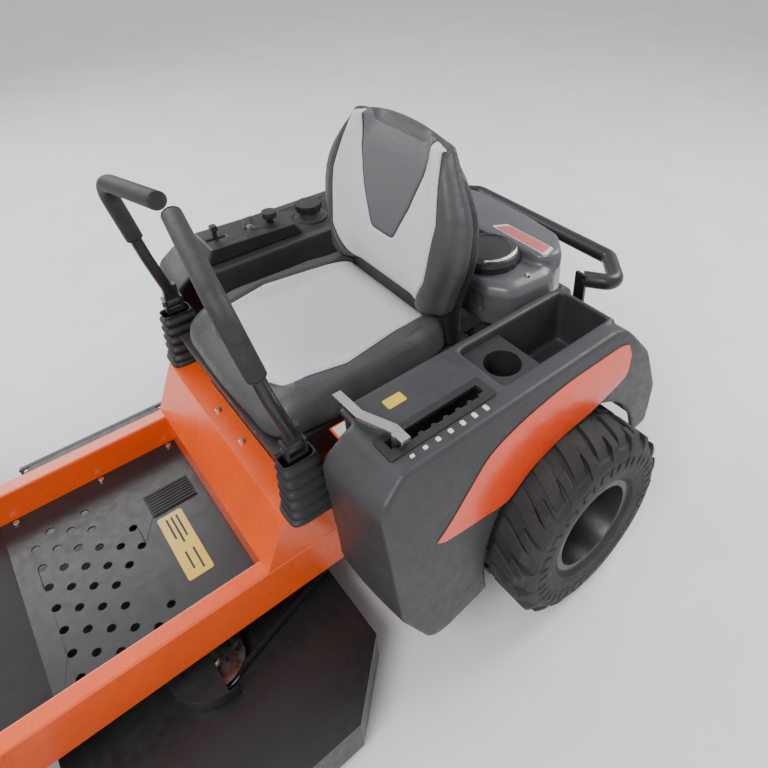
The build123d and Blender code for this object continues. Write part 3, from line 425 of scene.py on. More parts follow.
def tread_lug(bm, side, angle, radius, half, sweep, width, height, offset):
    """One curved chevron lug from the crown over the shoulder."""
    sections = 7
    loops = []
    for step in range(sections):
        t = step / (sections - 1)
        x = side * (offset + (half - offset + 0.001) * t)
        drop = 0.0 if t < 0.62 else ((t - 0.62) / 0.38) ** 2 * 0.052
        top = radius - drop * 0.92
        low = radius - height - drop - 0.006
        middle = angle + sweep * t ** 1.25
        spread = width * (1 - 0.18 * t) / radius / 2
        loop = [(low, middle - spread * 1.25), (top, middle - spread), (top, middle + spread),
                (low, middle + spread * 1.25)]
        loops.append([bm.verts.new((x, r * cos(a), r * sin(a))) for r, a in loop])
    for a, b in zip(loops, loops[1:]):
        for i in range(4):
            j = (i + 1) % 4
            bm.faces.new((a[i], a[j], b[j], b[i]))
    bm.faces.new(loops[0])
    bm.faces.new(list(reversed(loops[-1])))


def make_drive_tyre(side):
    """Chevron-tread drive tyre."""
    name = f"{side}_rear_tyre"
    low, high = (Vector(corner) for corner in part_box(name))
    centre = (low + high) / 2
    radius = (high.z - low.z) / 2
    half = (high.x - low.x) / 2
    bm = tyre_carcass(radius, half, 0.1125)
    lugs = 20
    for i in range(lugs):
        for hand in (-1, 1):
            angle = 2 * pi * (i + (0.5 if hand > 0 else 0)) / lugs
            tread_lug(bm, hand, angle, radius - 0.0005, half, 0.20, 0.036, 0.013, 0.006)
            middle = angle + pi / lugs
            tread_lug(bm, hand, middle + 0.10, radius - 0.001, half, 0.10, 0.024, 0.012,
                      half * 0.52)
    bmesh.ops.translate(bm, verts=bm.verts, vec=centre)
    tyre = add_piece(f"{side}_drive_tyre", bm, M["tyre_rubber"], BODY_OF[name], [name],
                     smooth=28)
    ease_edges(tyre, 0.0018, 2, 50)
    return tyre


def make_caster_tyre(side):
    """Ribbed front tyre with a rounded section."""
    name = f"{side}_caster_tyre"
    low, high = (Vector(corner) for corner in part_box(name))
    centre = (low + high) / 2
    radius = (high.z - low.z) / 2
    half = (high.x - low.x) / 2
    crown = []
    steps = 40
    for i in range(steps + 1):
        t = -1 + 2 * i / steps
        x = half * 0.94 * t
        r = radius - 0.016 * abs(t) ** 3.2
        groove = 0.005 if 0.18 < abs(t) < 0.27 or 0.55 < abs(t) < 0.63 else 0.0
        crown.append((r - groove, x))
    wall = [(0.118, half), (0.098, half - 0.002), (0.080, half - 0.008), (0.0665, half - 0.015)]
    outline = [(r, -x) for r, x in reversed(wall)] + crown + wall
    turns = 72
    angles = [2 * pi * step / turns for step in range(turns)]
    bm = closed_skin([[(x, r * cos(a), r * sin(a)) for r, x in outline] for a in angles])
    bmesh.ops.translate(bm, verts=bm.verts, vec=centre)
    return add_piece(f"{side}_front_tyre", bm, M["tyre_rubber"], BODY_OF[name], [name],
                     smooth=50)


# ---------------------------------------------------------------- fenders
F_LOW, F_HIGH = (Vector(corner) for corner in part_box("left_fender"))
TYRE_LOW, TYRE_HIGH = (Vector(corner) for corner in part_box("left_rear_tyre"))
AXLE = (TYRE_LOW + TYRE_HIGH) / 2
TYRE_R = (TYRE_HIGH.z - TYRE_LOW.z) / 2
ARCH_R = TYRE_R + 0.026
BIN_LOW = Vector((0.313, AXLE.y - 0.152, F_HIGH.z - 0.145))
BIN_HIGH = Vector((0.461, AXLE.y + 0.170, F_HIGH.z + 0.02))
SLOT_LOW = Vector((0.412, AXLE.y - 0.413, F_HIGH.z - 0.07))
SLOT_HIGH = Vector((0.446, AXLE.y - 0.192, F_HIGH.z + 0.02))


def fender_profile(inset=0.0):
    """Side outline of the fender in (Y, Z) with rounded corners."""
    y0, y1, top = F_LOW.y + inset, F_HIGH.y - inset, F_HIGH.z - inset
    points = [(y0 + 0.012, 0.306), (y0, 0.60), (y0 + 0.066, top - 0.004),
              (AXLE.y + 0.175, top - 0.004), (AXLE.y + 0.262, top - 0.11), (y1, 0.40),
              (y1 - 0.006, 0.278 + inset), (AXLE.y + 0.19, 0.270 + inset), (AXLE.y, 0.21),
              (AXLE.y - 0.27, 0.176), (AXLE.y - 0.425, 0.200)]
    return round_outline(points, [0.03, 0.05, 0.05, 0.09, 0.06, 0.05, 0.02, 0.02, 0.02, 0.02, 0.05])


def wall_bulge(y, z):
    """How far the outer wall stands out at a point, in metres."""
    forward = max(0.0, min(1.0, (AXLE.y - 0.12 - y) / 0.26))
    low = max(0.0, min(1.0, (0.56 - z) / 0.34))
    flare = 0.034 * forward * low ** 1.3
    crown = -0.020 * max(0.0, min(1.0, (z - 0.50) / 0.15)) ** 2
    return flare + crown


def fender_warp(point):
    """Bend the moulded shell: crowned top, flared lower front, drawn-in corners."""
    x, y, z = point
    share = (x - F_LOW.x) / (F_HIGH.x - F_LOW.x)
    x += wall_bulge(y, z) * max(0.0, share) ** 1.5
    nose = max(0.0, (F_LOW.y + 0.10 - y) / 0.10)
    y += 0.040 * nose * max(0.0, share - 0.45) ** 1.6
    return Vector((x, y, z))


def fender_mesh(with_bin):
    """Moulded fender, open below and inboard."""
    outer = prism(0, fender_profile(), F_LOW.x + 0.001, F_HIGH.x)
    inner = prism(0, fender_profile(0.013), F_LOW.x - 0.01, F_HIGH.x - 0.013)
    arch = cylinder_x(ARCH_R, F_LOW.x - 0.02, F_HIGH.x + 0.02, AXLE.y, AXLE.z)
    under = block((F_LOW.x - 0.02, AXLE.y - ARCH_R, 0), (F_HIGH.x + 0.02, AXLE.y + ARCH_R, AXLE.z))
    notch = block((F_LOW.x - 0.02, F_LOW.y - 0.02, 0), (0.340, F_LOW.y + 0.074, F_HIGH.z + 0.02))
    belly = block((F_LOW.x - 0.02, AXLE.y - 0.415, 0.10), (F_HIGH.x - 0.013, AXLE.y + 0.3, 0.30))
    joins, cuts = [], [inner, arch, under, notch, belly]
    wall = block((F_LOW.x + 0.001, F_LOW.y + 0.08, 0.41),
                 (F_LOW.x + 0.013, AXLE.y + 0.2, F_HIGH.z - 0.008))
    if with_bin:
        tub = block(BIN_LOW - Vector((0.010, 0.010, 0.010)),
                    (BIN_HIGH.x + 0.010, BIN_HIGH.y + 0.010, F_HIGH.z - 0.004))
        shell = combined(outer, cuts, [])
        joins = [wall, tub]
        rim = round_outline(rectangle(BIN_LOW.x, BIN_LOW.y, BIN_HIGH.x, BIN_HIGH.y), 0.014)
        late_cuts = [prism(2, rim, BIN_LOW.z, BIN_HIGH.z), block(SLOT_LOW, SLOT_HIGH)]
    else:
        shell = combined(outer, cuts, [])
        joins = [wall]
        late_cuts = [cylinder_z(0.031, F_HIGH.z - 0.03, F_HIGH.z + 0.02, 0.398, AXLE.y - 0.086)]
    bm = bmesh.new()
    bm.from_mesh(shell)
    whole = combined(bm, late_cuts, joins)
    return moulded(whole, 0.0042, 5, fender_warp)


def make_fenders():
    """Both moulded fenders."""
    left = add_piece("left_fender_moulding", fender_mesh(True), M["grey_plastic"], "chassis",
                     ["left_fender"], smooth=60)
    right_mesh = mirror_mesh(fender_mesh(False))
    right = add_piece("right_fender_moulding", right_mesh, M["grey_plastic"], "chassis",
                      ["right_fender"], smooth=60)
    return left, right


# ---------------------------------------------------------------- seat
C_LOW, C_HIGH = (Vector(corner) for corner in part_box("seat_cushion"))
B_LOW, B_HIGH = (Vector(corner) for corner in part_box("seat_back"))
S_LOW, S_HIGH = (Vector(corner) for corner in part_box("seat_shell"))


def smoothstep(low, high, value):
    """Smooth rise from 0 to 1."""
    t = max(0.0, min(1.0, (value - low) / (high - low)))
    return t * t * (3 - 2 * t)


def polygon_distance(u, v, polygon):
    """Signed distance from a polygon, negative inside."""
    best, inside = 9.0, False
    count = len(polygon)
    for i in range(count):
        (u0, v0), (u1, v1) = polygon[i], polygon[(i + 1) % count]
        du, dv = u1 - u0, v1 - v0
        t = max(0.0, min(1.0, ((u - u0) * du + (v - v0) * dv) / (du * du + dv * dv)))
        best = min(best, sqrt((u - u0 - t * du) ** 2 + (v - v0 - t * dv) ** 2))
        if (v0 > v) != (v1 > v) and u < du * (v - v0) / (v1 - v0) + u0:
            inside = not inside
    return -best if inside else best


WRINKLE_ROUNDS = 30


def inflate(mesh, cap, pinned):
    """Cloth-simulated padding: pressure pushes the skin out, pinned points stay."""
    holder = bpy.data.objects.new("padding", mesh)
    bpy.context.scene.collection.objects.link(holder)
    group = holder.vertex_groups.new(name="pin")
    group.add([v.index for v in mesh.vertices if pinned(v.co)], 1.0, "REPLACE")
    cloth = holder.modifiers.new("cloth", "CLOTH")
    settings = cloth.settings
    settings.quality = 6
    settings.mass = 0.4
    settings.tension_stiffness = 14
    settings.compression_stiffness = 14
    settings.shear_stiffness = 6
    settings.bending_stiffness = 1.2
    settings.use_pressure = True
    settings.uniform_pressure_force = 4
    settings.vertex_group_mass = "pin"
    settings.effector_weights.gravity = 0
    scene = bpy.context.scene
    start = [v.co.copy() for v in mesh.vertices]
    for step in range(1, 21):
        scene.frame_set(step)
    result = applied(holder)
    scene.frame_set(1)
    bpy.data.objects.remove(holder)
    moves = np.array([v.co - before for v, before in zip(result.vertices, start)])
    lengths = np.maximum(np.linalg.norm(moves, axis=1, keepdims=True), 1e-9)
    moves *= np.minimum(1.0, cap / lengths)
    ends = np.array([edge.vertices[:] for edge in result.edges])
    counts = np.bincount(ends.ravel(), minlength=len(moves))[:, None] + 1.0
    for _ in range(WRINKLE_ROUNDS):
        total = moves.copy()
        np.add.at(total, ends[:, 0], moves[ends[:, 1]])
        np.add.at(total, ends[:, 1], moves[ends[:, 0]])
        moves = total / counts
    for vertex, before, move in zip(result.vertices, start, moves):
        vertex.co = before + Vector(move)
    return result


def padded_mesh(bm, voxel, cap, pinned):
    """Remeshed, inflated and once-subdivided pad."""
    mesh = moulded(to_mesh(bm), voxel, 2)
    mesh = inflate(mesh, cap, pinned)
    holder = bpy.data.objects.new("subdivide", mesh)
    bpy.context.scene.collection.objects.link(holder)
    finer = holder.modifiers.new("finer", "SUBSURF")
    finer.levels = 1
    finer.render_levels = 1
    result = applied(holder)
    bpy.data.objects.remove(holder)
    return result


def store_distance(mesh, name, value_of):
    """Per-point signed distance that a material reads as a crisp outline."""
    layer = mesh.attributes.new(name, "FLOAT", "POINT")
    values = [value_of(v.co) for v in mesh.vertices]
    layer.data.foreach_set("value", values)
    return values


def sew(mesh, values, depth, width):
    """Press a seam groove where a stored distance is near zero."""
    normals = [v.normal.copy() for v in mesh.vertices]
    for vertex, normal, value in zip(mesh.vertices, normals, values):
        if abs(value) < width:
            vertex.co -= normal * depth * (1 - (value / width) ** 2) ** 2


def read_distance(tree, name):
    """Attribute value in a material."""
    node = tree.nodes.new("ShaderNodeAttribute")
    node.attribute_name = name
    return node.outputs["Fac"]


def seat_material(name, panel, bolster, insert=None):
    """Vinyl with perforated light panels, grained bolsters and stitched seams."""
    material, tree, shader = new_material(name, bolster, 0.5, specular=0.45)
    drift = add_noise(tree, 12)
    bolster_colour = add_ramp(tree, drift, shade(bolster, 0.88), shade(bolster, 1.12))
    coords = tree.nodes.new("ShaderNodeTexCoord")
    cells = tree.nodes.new("ShaderNodeTexVoronoi")
    cells.inputs["Scale"].default_value = 210
    tree.links.new(coords.outputs["Object"], cells.inputs["Vector"])
    dots = add_range(tree, cells.outputs["Distance"], 0.0, 1.0, 0.12, 0.32)
    panel_colour = mix_colours(tree, dots, shade(panel, 0.62), panel)
    inside = add_range(tree, read_distance(tree, "panel"), 1.0, 0.0, -0.0006, 0.0006)
    colour = mix_colours(tree, inside, bolster_colour, panel_colour)
    if insert:
        shield = add_range(tree, read_distance(tree, "insert"), 1.0, 0.0, -0.0006, 0.0006)
        colour = mix_colours(tree, shield, colour, insert)
    for seam in ("panel", "insert") if insert else ("panel",):
        distance = tree.nodes.new("ShaderNodeMath")
        distance.operation = "ABSOLUTE"
        tree.links.new(read_distance(tree, seam), distance.inputs[0])
        line = add_range(tree, distance.outputs[0], 1.0, 0.0, 0.0012, 0.0030)
        colour = mix_colours(tree, line, colour, shade(bolster, 0.35))
    tree.links.new(colour, shader.inputs["Base Color"])
    tree.links.new(add_range(tree, add_noise(tree, 70), 0.42, 0.58), shader.inputs["Roughness"])
    add_bump(tree, shader, add_noise(tree, 420, 3.0), 0.5, 0.0007)
    add_bump(tree, shader, cells.outputs["Distance"], 0.25, 0.0006)
    return material


PANEL_GREY = (0.56, 0.56, 0.565)
BOLSTER_GREY = (0.050, 0.050, 0.052)
INSERT_GREY = (0.10, 0.10, 0.104)


def cushion_panel(y0, y1):
    """Plan outline of the light panel on the cushion."""
    return round_outline([(-0.155, y0 + 0.075), (-0.10, y0 + 0.05), (0.10, y0 + 0.05),
                          (0.155, y0 + 0.075), (0.185, y1 - 0.26), (0.150, y1 - 0.02),
                          (-0.150, y1 - 0.02), (-0.185, y1 - 0.26)], 0.03, 4)


def make_cushion():
    """Seat cushion with raised side bolsters and a rolled front."""
    x1, y0, y1 = C_HIGH.x - 0.004, C_LOW.y + 0.004, C_HIGH.y
    z0, z1 = C_LOW.z + 0.0004, C_HIGH.z
    plan = round_outline([(-x1 * 0.92, y0 + 0.006), (0, y0 - 0.002), (x1 * 0.92, y0 + 0.006),
                          (x1, y0 + 0.14), (x1 * 0.97, y1 - 0.10), (x1 * 0.86, y1),
                          (-x1 * 0.86, y1), (-x1 * 0.97, y1 - 0.10), (-x1, y0 + 0.14)],
                         [0.07, 0.3, 0.07, 0.08, 0.08, 0.05, 0.05, 0.08, 0.08], 8)
    middle = Vector((0, (y0 + y1) / 2))
    rings = []
    for z, inset in ((z0, 0.010), (z0 + 0.006, 0.003), (z0 + 0.018, 0.0), (z1 - 0.034, 0.0),
                     (z1 - 0.018, 0.006), (z1 - 0.008, 0.018), (z1 - 0.004, 0.032)):
        ring = []
        for x, y in plan:
            away = Vector((x, y)) - middle
            share = 1 - inset / away.length
            ring.append((away.x * share, middle.y + away.y * share, z))
        rings.append(ring)
    pad = padded_mesh(loft(rings), 0.006, 0.012, lambda p: p.z < z0 + 0.012)
    for vertex in pad.vertices:
        x, y, z = vertex.co
        height = smoothstep(z0 + 0.02, z1, z)
        side = smoothstep(0.13, 0.19, abs(x)) * (1 - smoothstep(0.215, 0.246, abs(x)))
        front = 1 - smoothstep(y0 + 0.02, y0 + 0.14, y)
        back = smoothstep(y1 - 0.16, y1, y)
        lift = 0.014 * side * (1 - 0.5 * front) - 0.010 * (1 - side) * (1 - front) + 0.004 * back
        vertex.co.z = min(z + height * (lift - 0.012 * front * front), C_HIGH.z + 0.010)
        vertex.co.z = max(vertex.co.z, z0)
    panel = cushion_panel(y0, y1)
    values = store_distance(pad, "panel", lambda p: polygon_distance(p.x, p.y, panel)
                            if p.z > z0 + 0.035 else 0.2)
    pad.update()
    sew(pad, values, 0.0055, 0.008)
    cushion = add_piece("cushion_pad", pad,
                        seat_material("cushion_vinyl", PANEL_GREY, BOLSTER_GREY), "seat",
                        ["seat_cushion"], smooth=0)
    pad.shade_smooth()
    return cushion


def back_line(z):
    """Front, rear and half width of the backrest at a height."""
    t = (z - B_LOW.z) / (B_HIGH.z - B_LOW.z)
    front = B_LOW.y + 0.004 + 0.024 * t + 0.060 * t * t
    rear = B_HIGH.y - 0.034 - 0.020 * (1 - t) + 0.026 * t * t
    half = (B_HIGH.x - 0.002 - 0.040 * (1 - smoothstep(0.0, 0.42, t))
            - 0.085 * smoothstep(0.55, 1.0, t))
    return front, rear, half


def super_ring(z, scale=1.0, count=72):
    """Rounded cross-section of the backrest with forward side bolsters."""
    front, rear, half = back_line(z)
    middle = (front + rear) / 2
    depth = (rear - front) / 2 * (0.4 + 0.6 * scale)
    half *= 0.86 + 0.14 * scale
    ring = []
    for i in range(count):
        a = 2 * pi * i / count
        c, s = cos(a), sin(a)
        x = half * signed_power(c, 0.42)
        y = depth * signed_power(s, 0.5)
        wing = smoothstep(0.50, 0.80, abs(x) / half) * (1 - smoothstep(0.88, 1.0, abs(x) / half))
        if s < 0:
            y += 0.028 * (1 - wing) * min(1, -s * 2)
        ring.append((x, middle + y, z))
    return ring


def make_backrest():
    """Backrest pad with light panels and a darker shield insert."""
    z0, z1 = B_LOW.z + 0.002, B_HIGH.z - 0.002
    rings = []
    for step in range(7):
        t = step / 6
        rings.append(super_ring(z0 + 0.030 * t, sqrt(1 - (1 - t) ** 2)))
    for step in range(1, 12):
        rings.append(super_ring(z0 + 0.030 + (z1 - z0 - 0.085) * step / 11))
    for step in range(1, 8):
        t = step / 8
        rings.append(super_ring(z1 - 0.055 + 0.055 * sin(t * pi / 2), cos(t * pi / 2)))
    pad = padded_mesh(loft(rings), 0.006, 0.010,
                      lambda p: p.y > back_line(p.z)[1] - 0.02)
    for vertex in pad.vertices:
        corner = smoothstep(0.93, 1.0, (vertex.co.z - B_LOW.z) / (B_HIGH.z - B_LOW.z))
        vertex.co.z -= 0.030 * corner * (abs(vertex.co.x) / 0.17) ** 2.2
        vertex.co.z = max(vertex.co.z, z0)
    half = B_HIGH.x
    panel = round_outline([(-0.125, z0 + 0.012), (0.125, z0 + 0.012), (half - 0.080, z0 + 0.10),
                           (half - 0.066, z0 + 0.24), (0.150, z1 + 0.02), (-0.150, z1 + 0.02),
                           (0.066 - half, z0 + 0.24), (0.080 - half, z0 + 0.10)], 0.03, 4)
    shield = round_outline([(-0.132, z1 + 0.04), (-0.112, z1 - 0.09), (-0.084, z1 - 0.17),
                            (-0.040, z0 + 0.142), (0.040, z0 + 0.142), (0.084, z1 - 0.17),
                            (0.112, z1 - 0.09), (0.132, z1 + 0.04)], 0.02, 4)
    facing = lambda p: p.y < sum(back_line(p.z)[:2]) / 2
    outer = store_distance(pad, "panel", lambda p: polygon_distance(p.x, p.z, panel)
                           if facing(p) else 0.2)
    inner = store_distance(pad, "insert", lambda p: polygon_distance(p.x, p.z, shield)
                           if facing(p) else 0.2)
    pad.update()
    sew(pad, outer, 0.0055, 0.008)
    sew(pad, inner, 0.0035, 0.006)
    back = add_piece("backrest_pad", pad,
                     seat_material("backrest_vinyl", PANEL_GREY, BOLSTER_GREY, INSERT_GREY),
                     "seat", ["seat_back"], smooth=0)
    pad.shade_smooth()
    return back


def make_seat_shell():
    """Moulded plastic shell that wraps the back of the backrest."""
    rings = []
    steps = 16
    for step in range(steps + 1):
        t = step / steps
        z = S_LOW.z + 0.001 + (S_HIGH.z - S_LOW.z - 0.001) * t
        _, rear, half = back_line(max(z, B_LOW.z))
        half = (half - 0.004) * (1 if t < 0.9 else sqrt(1 - ((t - 0.9) / 0.115) ** 2))
        swell = 0.030 * sin(pi * min(1, 0.25 + t * 0.8)) * (1 if t < 0.9 else 0.6)
        ring = []
        for i in range(48):
            a = 2 * pi * i / 48
            c, s = cos(a), sin(a)
            x = half * signed_power(c, 0.5)
            depth = (0.016 + swell * 0.9) * (1 if s > 0 else 0.9)
            y = rear - 0.012 + depth * signed_power(s, 0.6)
            ring.append((x, y, z))
        rings.append(ring)
    mesh = moulded(to_mesh(loft(rings)), 0.006, 3)
    for vertex in mesh.vertices:
        vertex.co.y = min(vertex.co.y, S_HIGH.y + 0.004)
        vertex.co.z = max(vertex.co.z, S_LOW.z)
    return add_piece("seat_back_shell", mesh, M["black_plastic"], "seat", ["seat_shell"],
                     smooth=60)


# ---------------------------------------------------------------- levers and gate
def superellipse(cx, cy, z, hx, hy, power=0.42, count=40):
    """Rounded rectangular ring of points at a height."""
    ring = []
    for i in range(count):
        c, s = cos(2 * pi * i / count), sin(2 * pi * i / count)
        ring.append((cx + hx * signed_power(c, power), cy + hy * signed_power(s, power), z))
    return ring


BOOT_WALL = 0.003


def make_boot(side):
    """Rubber bellows round the foot of a steering lever."""
    node = f"{side}_lever_boot"
    low, high = (Vector(corner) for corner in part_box(node))
    base_low, base_high = (Vector(corner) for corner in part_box(f"{side}_lever_base"))
    foot, head = (low + high) / 2, (base_low + base_high) / 2
    levels = []
    steps = 30
    height = high.z - low.z - 0.012
    for step in range(steps + 1):
        t = step / steps
        fold = 0.0042 * sin(5 * 2 * pi * t) * (1 - 0.3 * t)
        levels.append((foot.x + (head.x - foot.x) * t, foot.y + (head.y - foot.y) * t,
                       low.z + 0.011 + height * t, 0.032 - 0.010 * t + fold,
                       0.056 - 0.022 * t + fold))
    flange = [(foot.x, foot.y, low.z + 0.001, 0.038, 0.063),
              (foot.x, foot.y, low.z + 0.007, 0.038, 0.063)]
    levels = flange + levels
    outer = [superellipse(*level) for level in levels]
    inner = [superellipse(x, y, z, hx - BOOT_WALL, hy - BOOT_WALL)
             for x, y, z, hx, hy in reversed(levels)]
    bm = closed_skin(outer + inner)
    boot = add_piece(f"{side}_bellows_boot", bm, M["soft_rubber"], None, [node], 60)
    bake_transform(boot)


def make_height_gate():
    """Notched gate round the height lever's slot, with a row of raised marks."""
    top = F_HIGH.z - 0.003
    low, high = SLOT_LOW, SLOT_HIGH
    outline = round_outline(rectangle(low.x - 0.014, low.y - 0.014, high.x + 0.012,
                                      high.y + 0.014), 0.008)
    opening = [(low.x + 0.002, low.y + 0.002), (high.x - 0.010, low.y + 0.002)]
    notches = 7
    pitch = (high.y - low.y - 0.02) / notches
    for i in range(notches):
        y = low.y + 0.010 + pitch * i
        opening += [(high.x - 0.010, y), (high.x - 0.002, y + 0.005),
                    (high.x - 0.002, y + pitch - 0.012), (high.x - 0.010, y + pitch - 0.007)]
    opening += [(high.x - 0.010, high.y - 0.002), (low.x + 0.002, high.y - 0.002)]
    plate = combined(prism(2, outline, top - 0.006, top + 0.0025),
                     [prism(2, opening, top - 0.01, top + 0.01)])
    gate = add_piece("height_gate", plate, M["black_plastic"], "chassis")
    ease_edges(gate, 0.0006)
    for i in range(notches):
        y = low.y + 0.016 + pitch * (i + 0.2)
        x = high.x + 0.0235
        size = 0.0035 + 0.0006 * i
        shape = round_outline(rectangle(x - size, y - 0.0045, x + size, y + 0.0045), 0.003, 4)
        add_piece(f"height_mark_{i + 1}", prism(2, shape, top - 0.002, top + 0.0006),
                  M["decal_white"], "chassis")


def make_label_bracket():
    """Orange angle beside the left boot with a plain label on it."""
    x, y0, y1, z = 0.2845, 0.022, 0.072, 0.566
    leg = block((x, y0, 0.4462), (x + 0.003, y1, z))
    foot = block((x - 0.028, y0, 0.4462), (x + 0.003, y1, 0.4492))
    shelf = block((x - 0.030, y0, z - 0.003), (x + 0.003, y1, z))
    add_piece("label_bracket", combined(leg, (), [foot, shelf]), M["orange_steel"], "chassis")
    face = round_outline(rectangle(x - 0.027, y0 + 0.004, x, y1 - 0.004), 0.003)
    add_piece("bracket_label", prism(2, face, z, z + 0.0006), M["decal_white"], "chassis")


# ---------------------------------------------------------------- labels and stripes
STRIPE_TOP = [(0.073, 0.449), (0.112, 0.477), (0.160, 0.523), (0.213, 0.567), (0.280, 0.589),
              (0.351, 0.601), (0.440, 0.609), (0.536, 0.609), (0.606, 0.608), (0.636, 0.600)]
STRIPE_FOOT = [(0.090, 0.437), (0.129, 0.428), (0.190, 0.416), (0.263, 0.404), (0.327, 0.440),
               (0.416, 0.470), (0.513, 0.482), (0.586, 0.501), (0.632, 0.520), (0.645, 0.570)]


def along(chain, t):
    """Point at a share of a chain of points, smoothed between them."""
    place = t * (len(chain) - 1)
    i = min(int(place), len(chain) - 2)
    f = place - i
    a, b = Vector(chain[i]), Vector(chain[i + 1])
    before = Vector(chain[max(0, i - 1)])
    after = Vector(chain[min(len(chain) - 1, i + 2)])
    return 0.5 * (2 * a + (b - before) * f + (2 * before - 5 * a + 4 * b - after) * f * f
                  + (3 * a - before - 3 * b + after) * f ** 3)


def fender_stripe(hand, grow, lift, name, material):
    """Curved band that lies on a fender's outer wall."""
    rings = []
    columns, rows = 60, 10
    for i in range(columns + 1):
        t = i / columns
        top, foot = along(STRIPE_TOP, t), along(STRIPE_FOOT, t)
        middle = (top + foot) / 2
        front, back = [], []
        for j in range(rows + 1):
            p = foot + (top - foot) * j / rows
            out = p - middle
            p = p + (out.normalized() * grow if out.length > 0.002 else out)
            x = F_HIGH.x + wall_bulge(p.x, p.y)
            front.append((hand * (x + lift), p.x, p.y))
            back.append((hand * (x - 0.002), p.x, p.y))
        rings.append(front + back[::-1])
    return add_piece(name, loft(rings), material, "chassis", smooth=45)


def make_labels():
    """Fender stripes, footwell label with its tread pad, and the small side label."""
    for side, hand in (("left", 1), ("right", -1)):
        fender_stripe(hand, 0.002, 0.0012, f"{side}_stripe_edge", M["black_plastic"])
        fender_stripe(hand, 0.0, 0.0018, f"{side}_stripe", M["decal_orange"])
    z = 0.2450
    corners = rectangle(-0.040, -0.286, 0.148, -0.232)
    add_piece("footwell_label", prism(2, round_outline(corners, 0.006), z - 0.0004, z + 0.0006),
              M["decal_yellow"], "chassis")
    for i, (x0, x1, y) in enumerate(((-0.028, 0.040, -0.247), (-0.028, 0.052, -0.258),
                                     (-0.028, 0.034, -0.269), (0.076, 0.136, -0.249),
                                     (0.076, 0.126, -0.266))):
        bar = round_outline(rectangle(x0, y - 0.0022, x1, y + 0.0022), 0.001, 3)
        add_piece(f"footwell_label_bar_{i + 1}", prism(2, bar, z + 0.0002, z + 0.0009),
                  M["black_plastic"], "chassis")
    pad = block((-0.122, -0.288, z - 0.0005), (-0.052, -0.186, z + 0.0025))
    ribs = [block((-0.118 + 0.0085 * i, -0.284, z + 0.0020),
                  (-0.1135 + 0.0085 * i, -0.190, z + 0.0050))
            for i in range(8)]
    tread = add_piece("tread_pad", combined(pad, (), ribs), M["soft_rubber"], "chassis")
    ease_edges(tread, 0.0008, 2)
    top = F_HIGH.z - 0.0042
    spot = rectangle(0.330, 0.098, 0.356, 0.140)
    add_piece("fender_label", prism(2, round_outline(spot, 0.004), top - 0.002, top + 0.0008),
              M["decal_yellow"], "chassis")


# ---------------------------------------------------------------- engine
E_LOW, E_HIGH = (Vector(corner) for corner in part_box("engine_cover"))


def scaled_outline(outline, factor, centre):
    """Outline scaled about a point."""
    return [(centre[0] + (x - centre[0]) * factor, centre[1] + (y - centre[1]) * factor)
            for x, y in outline]


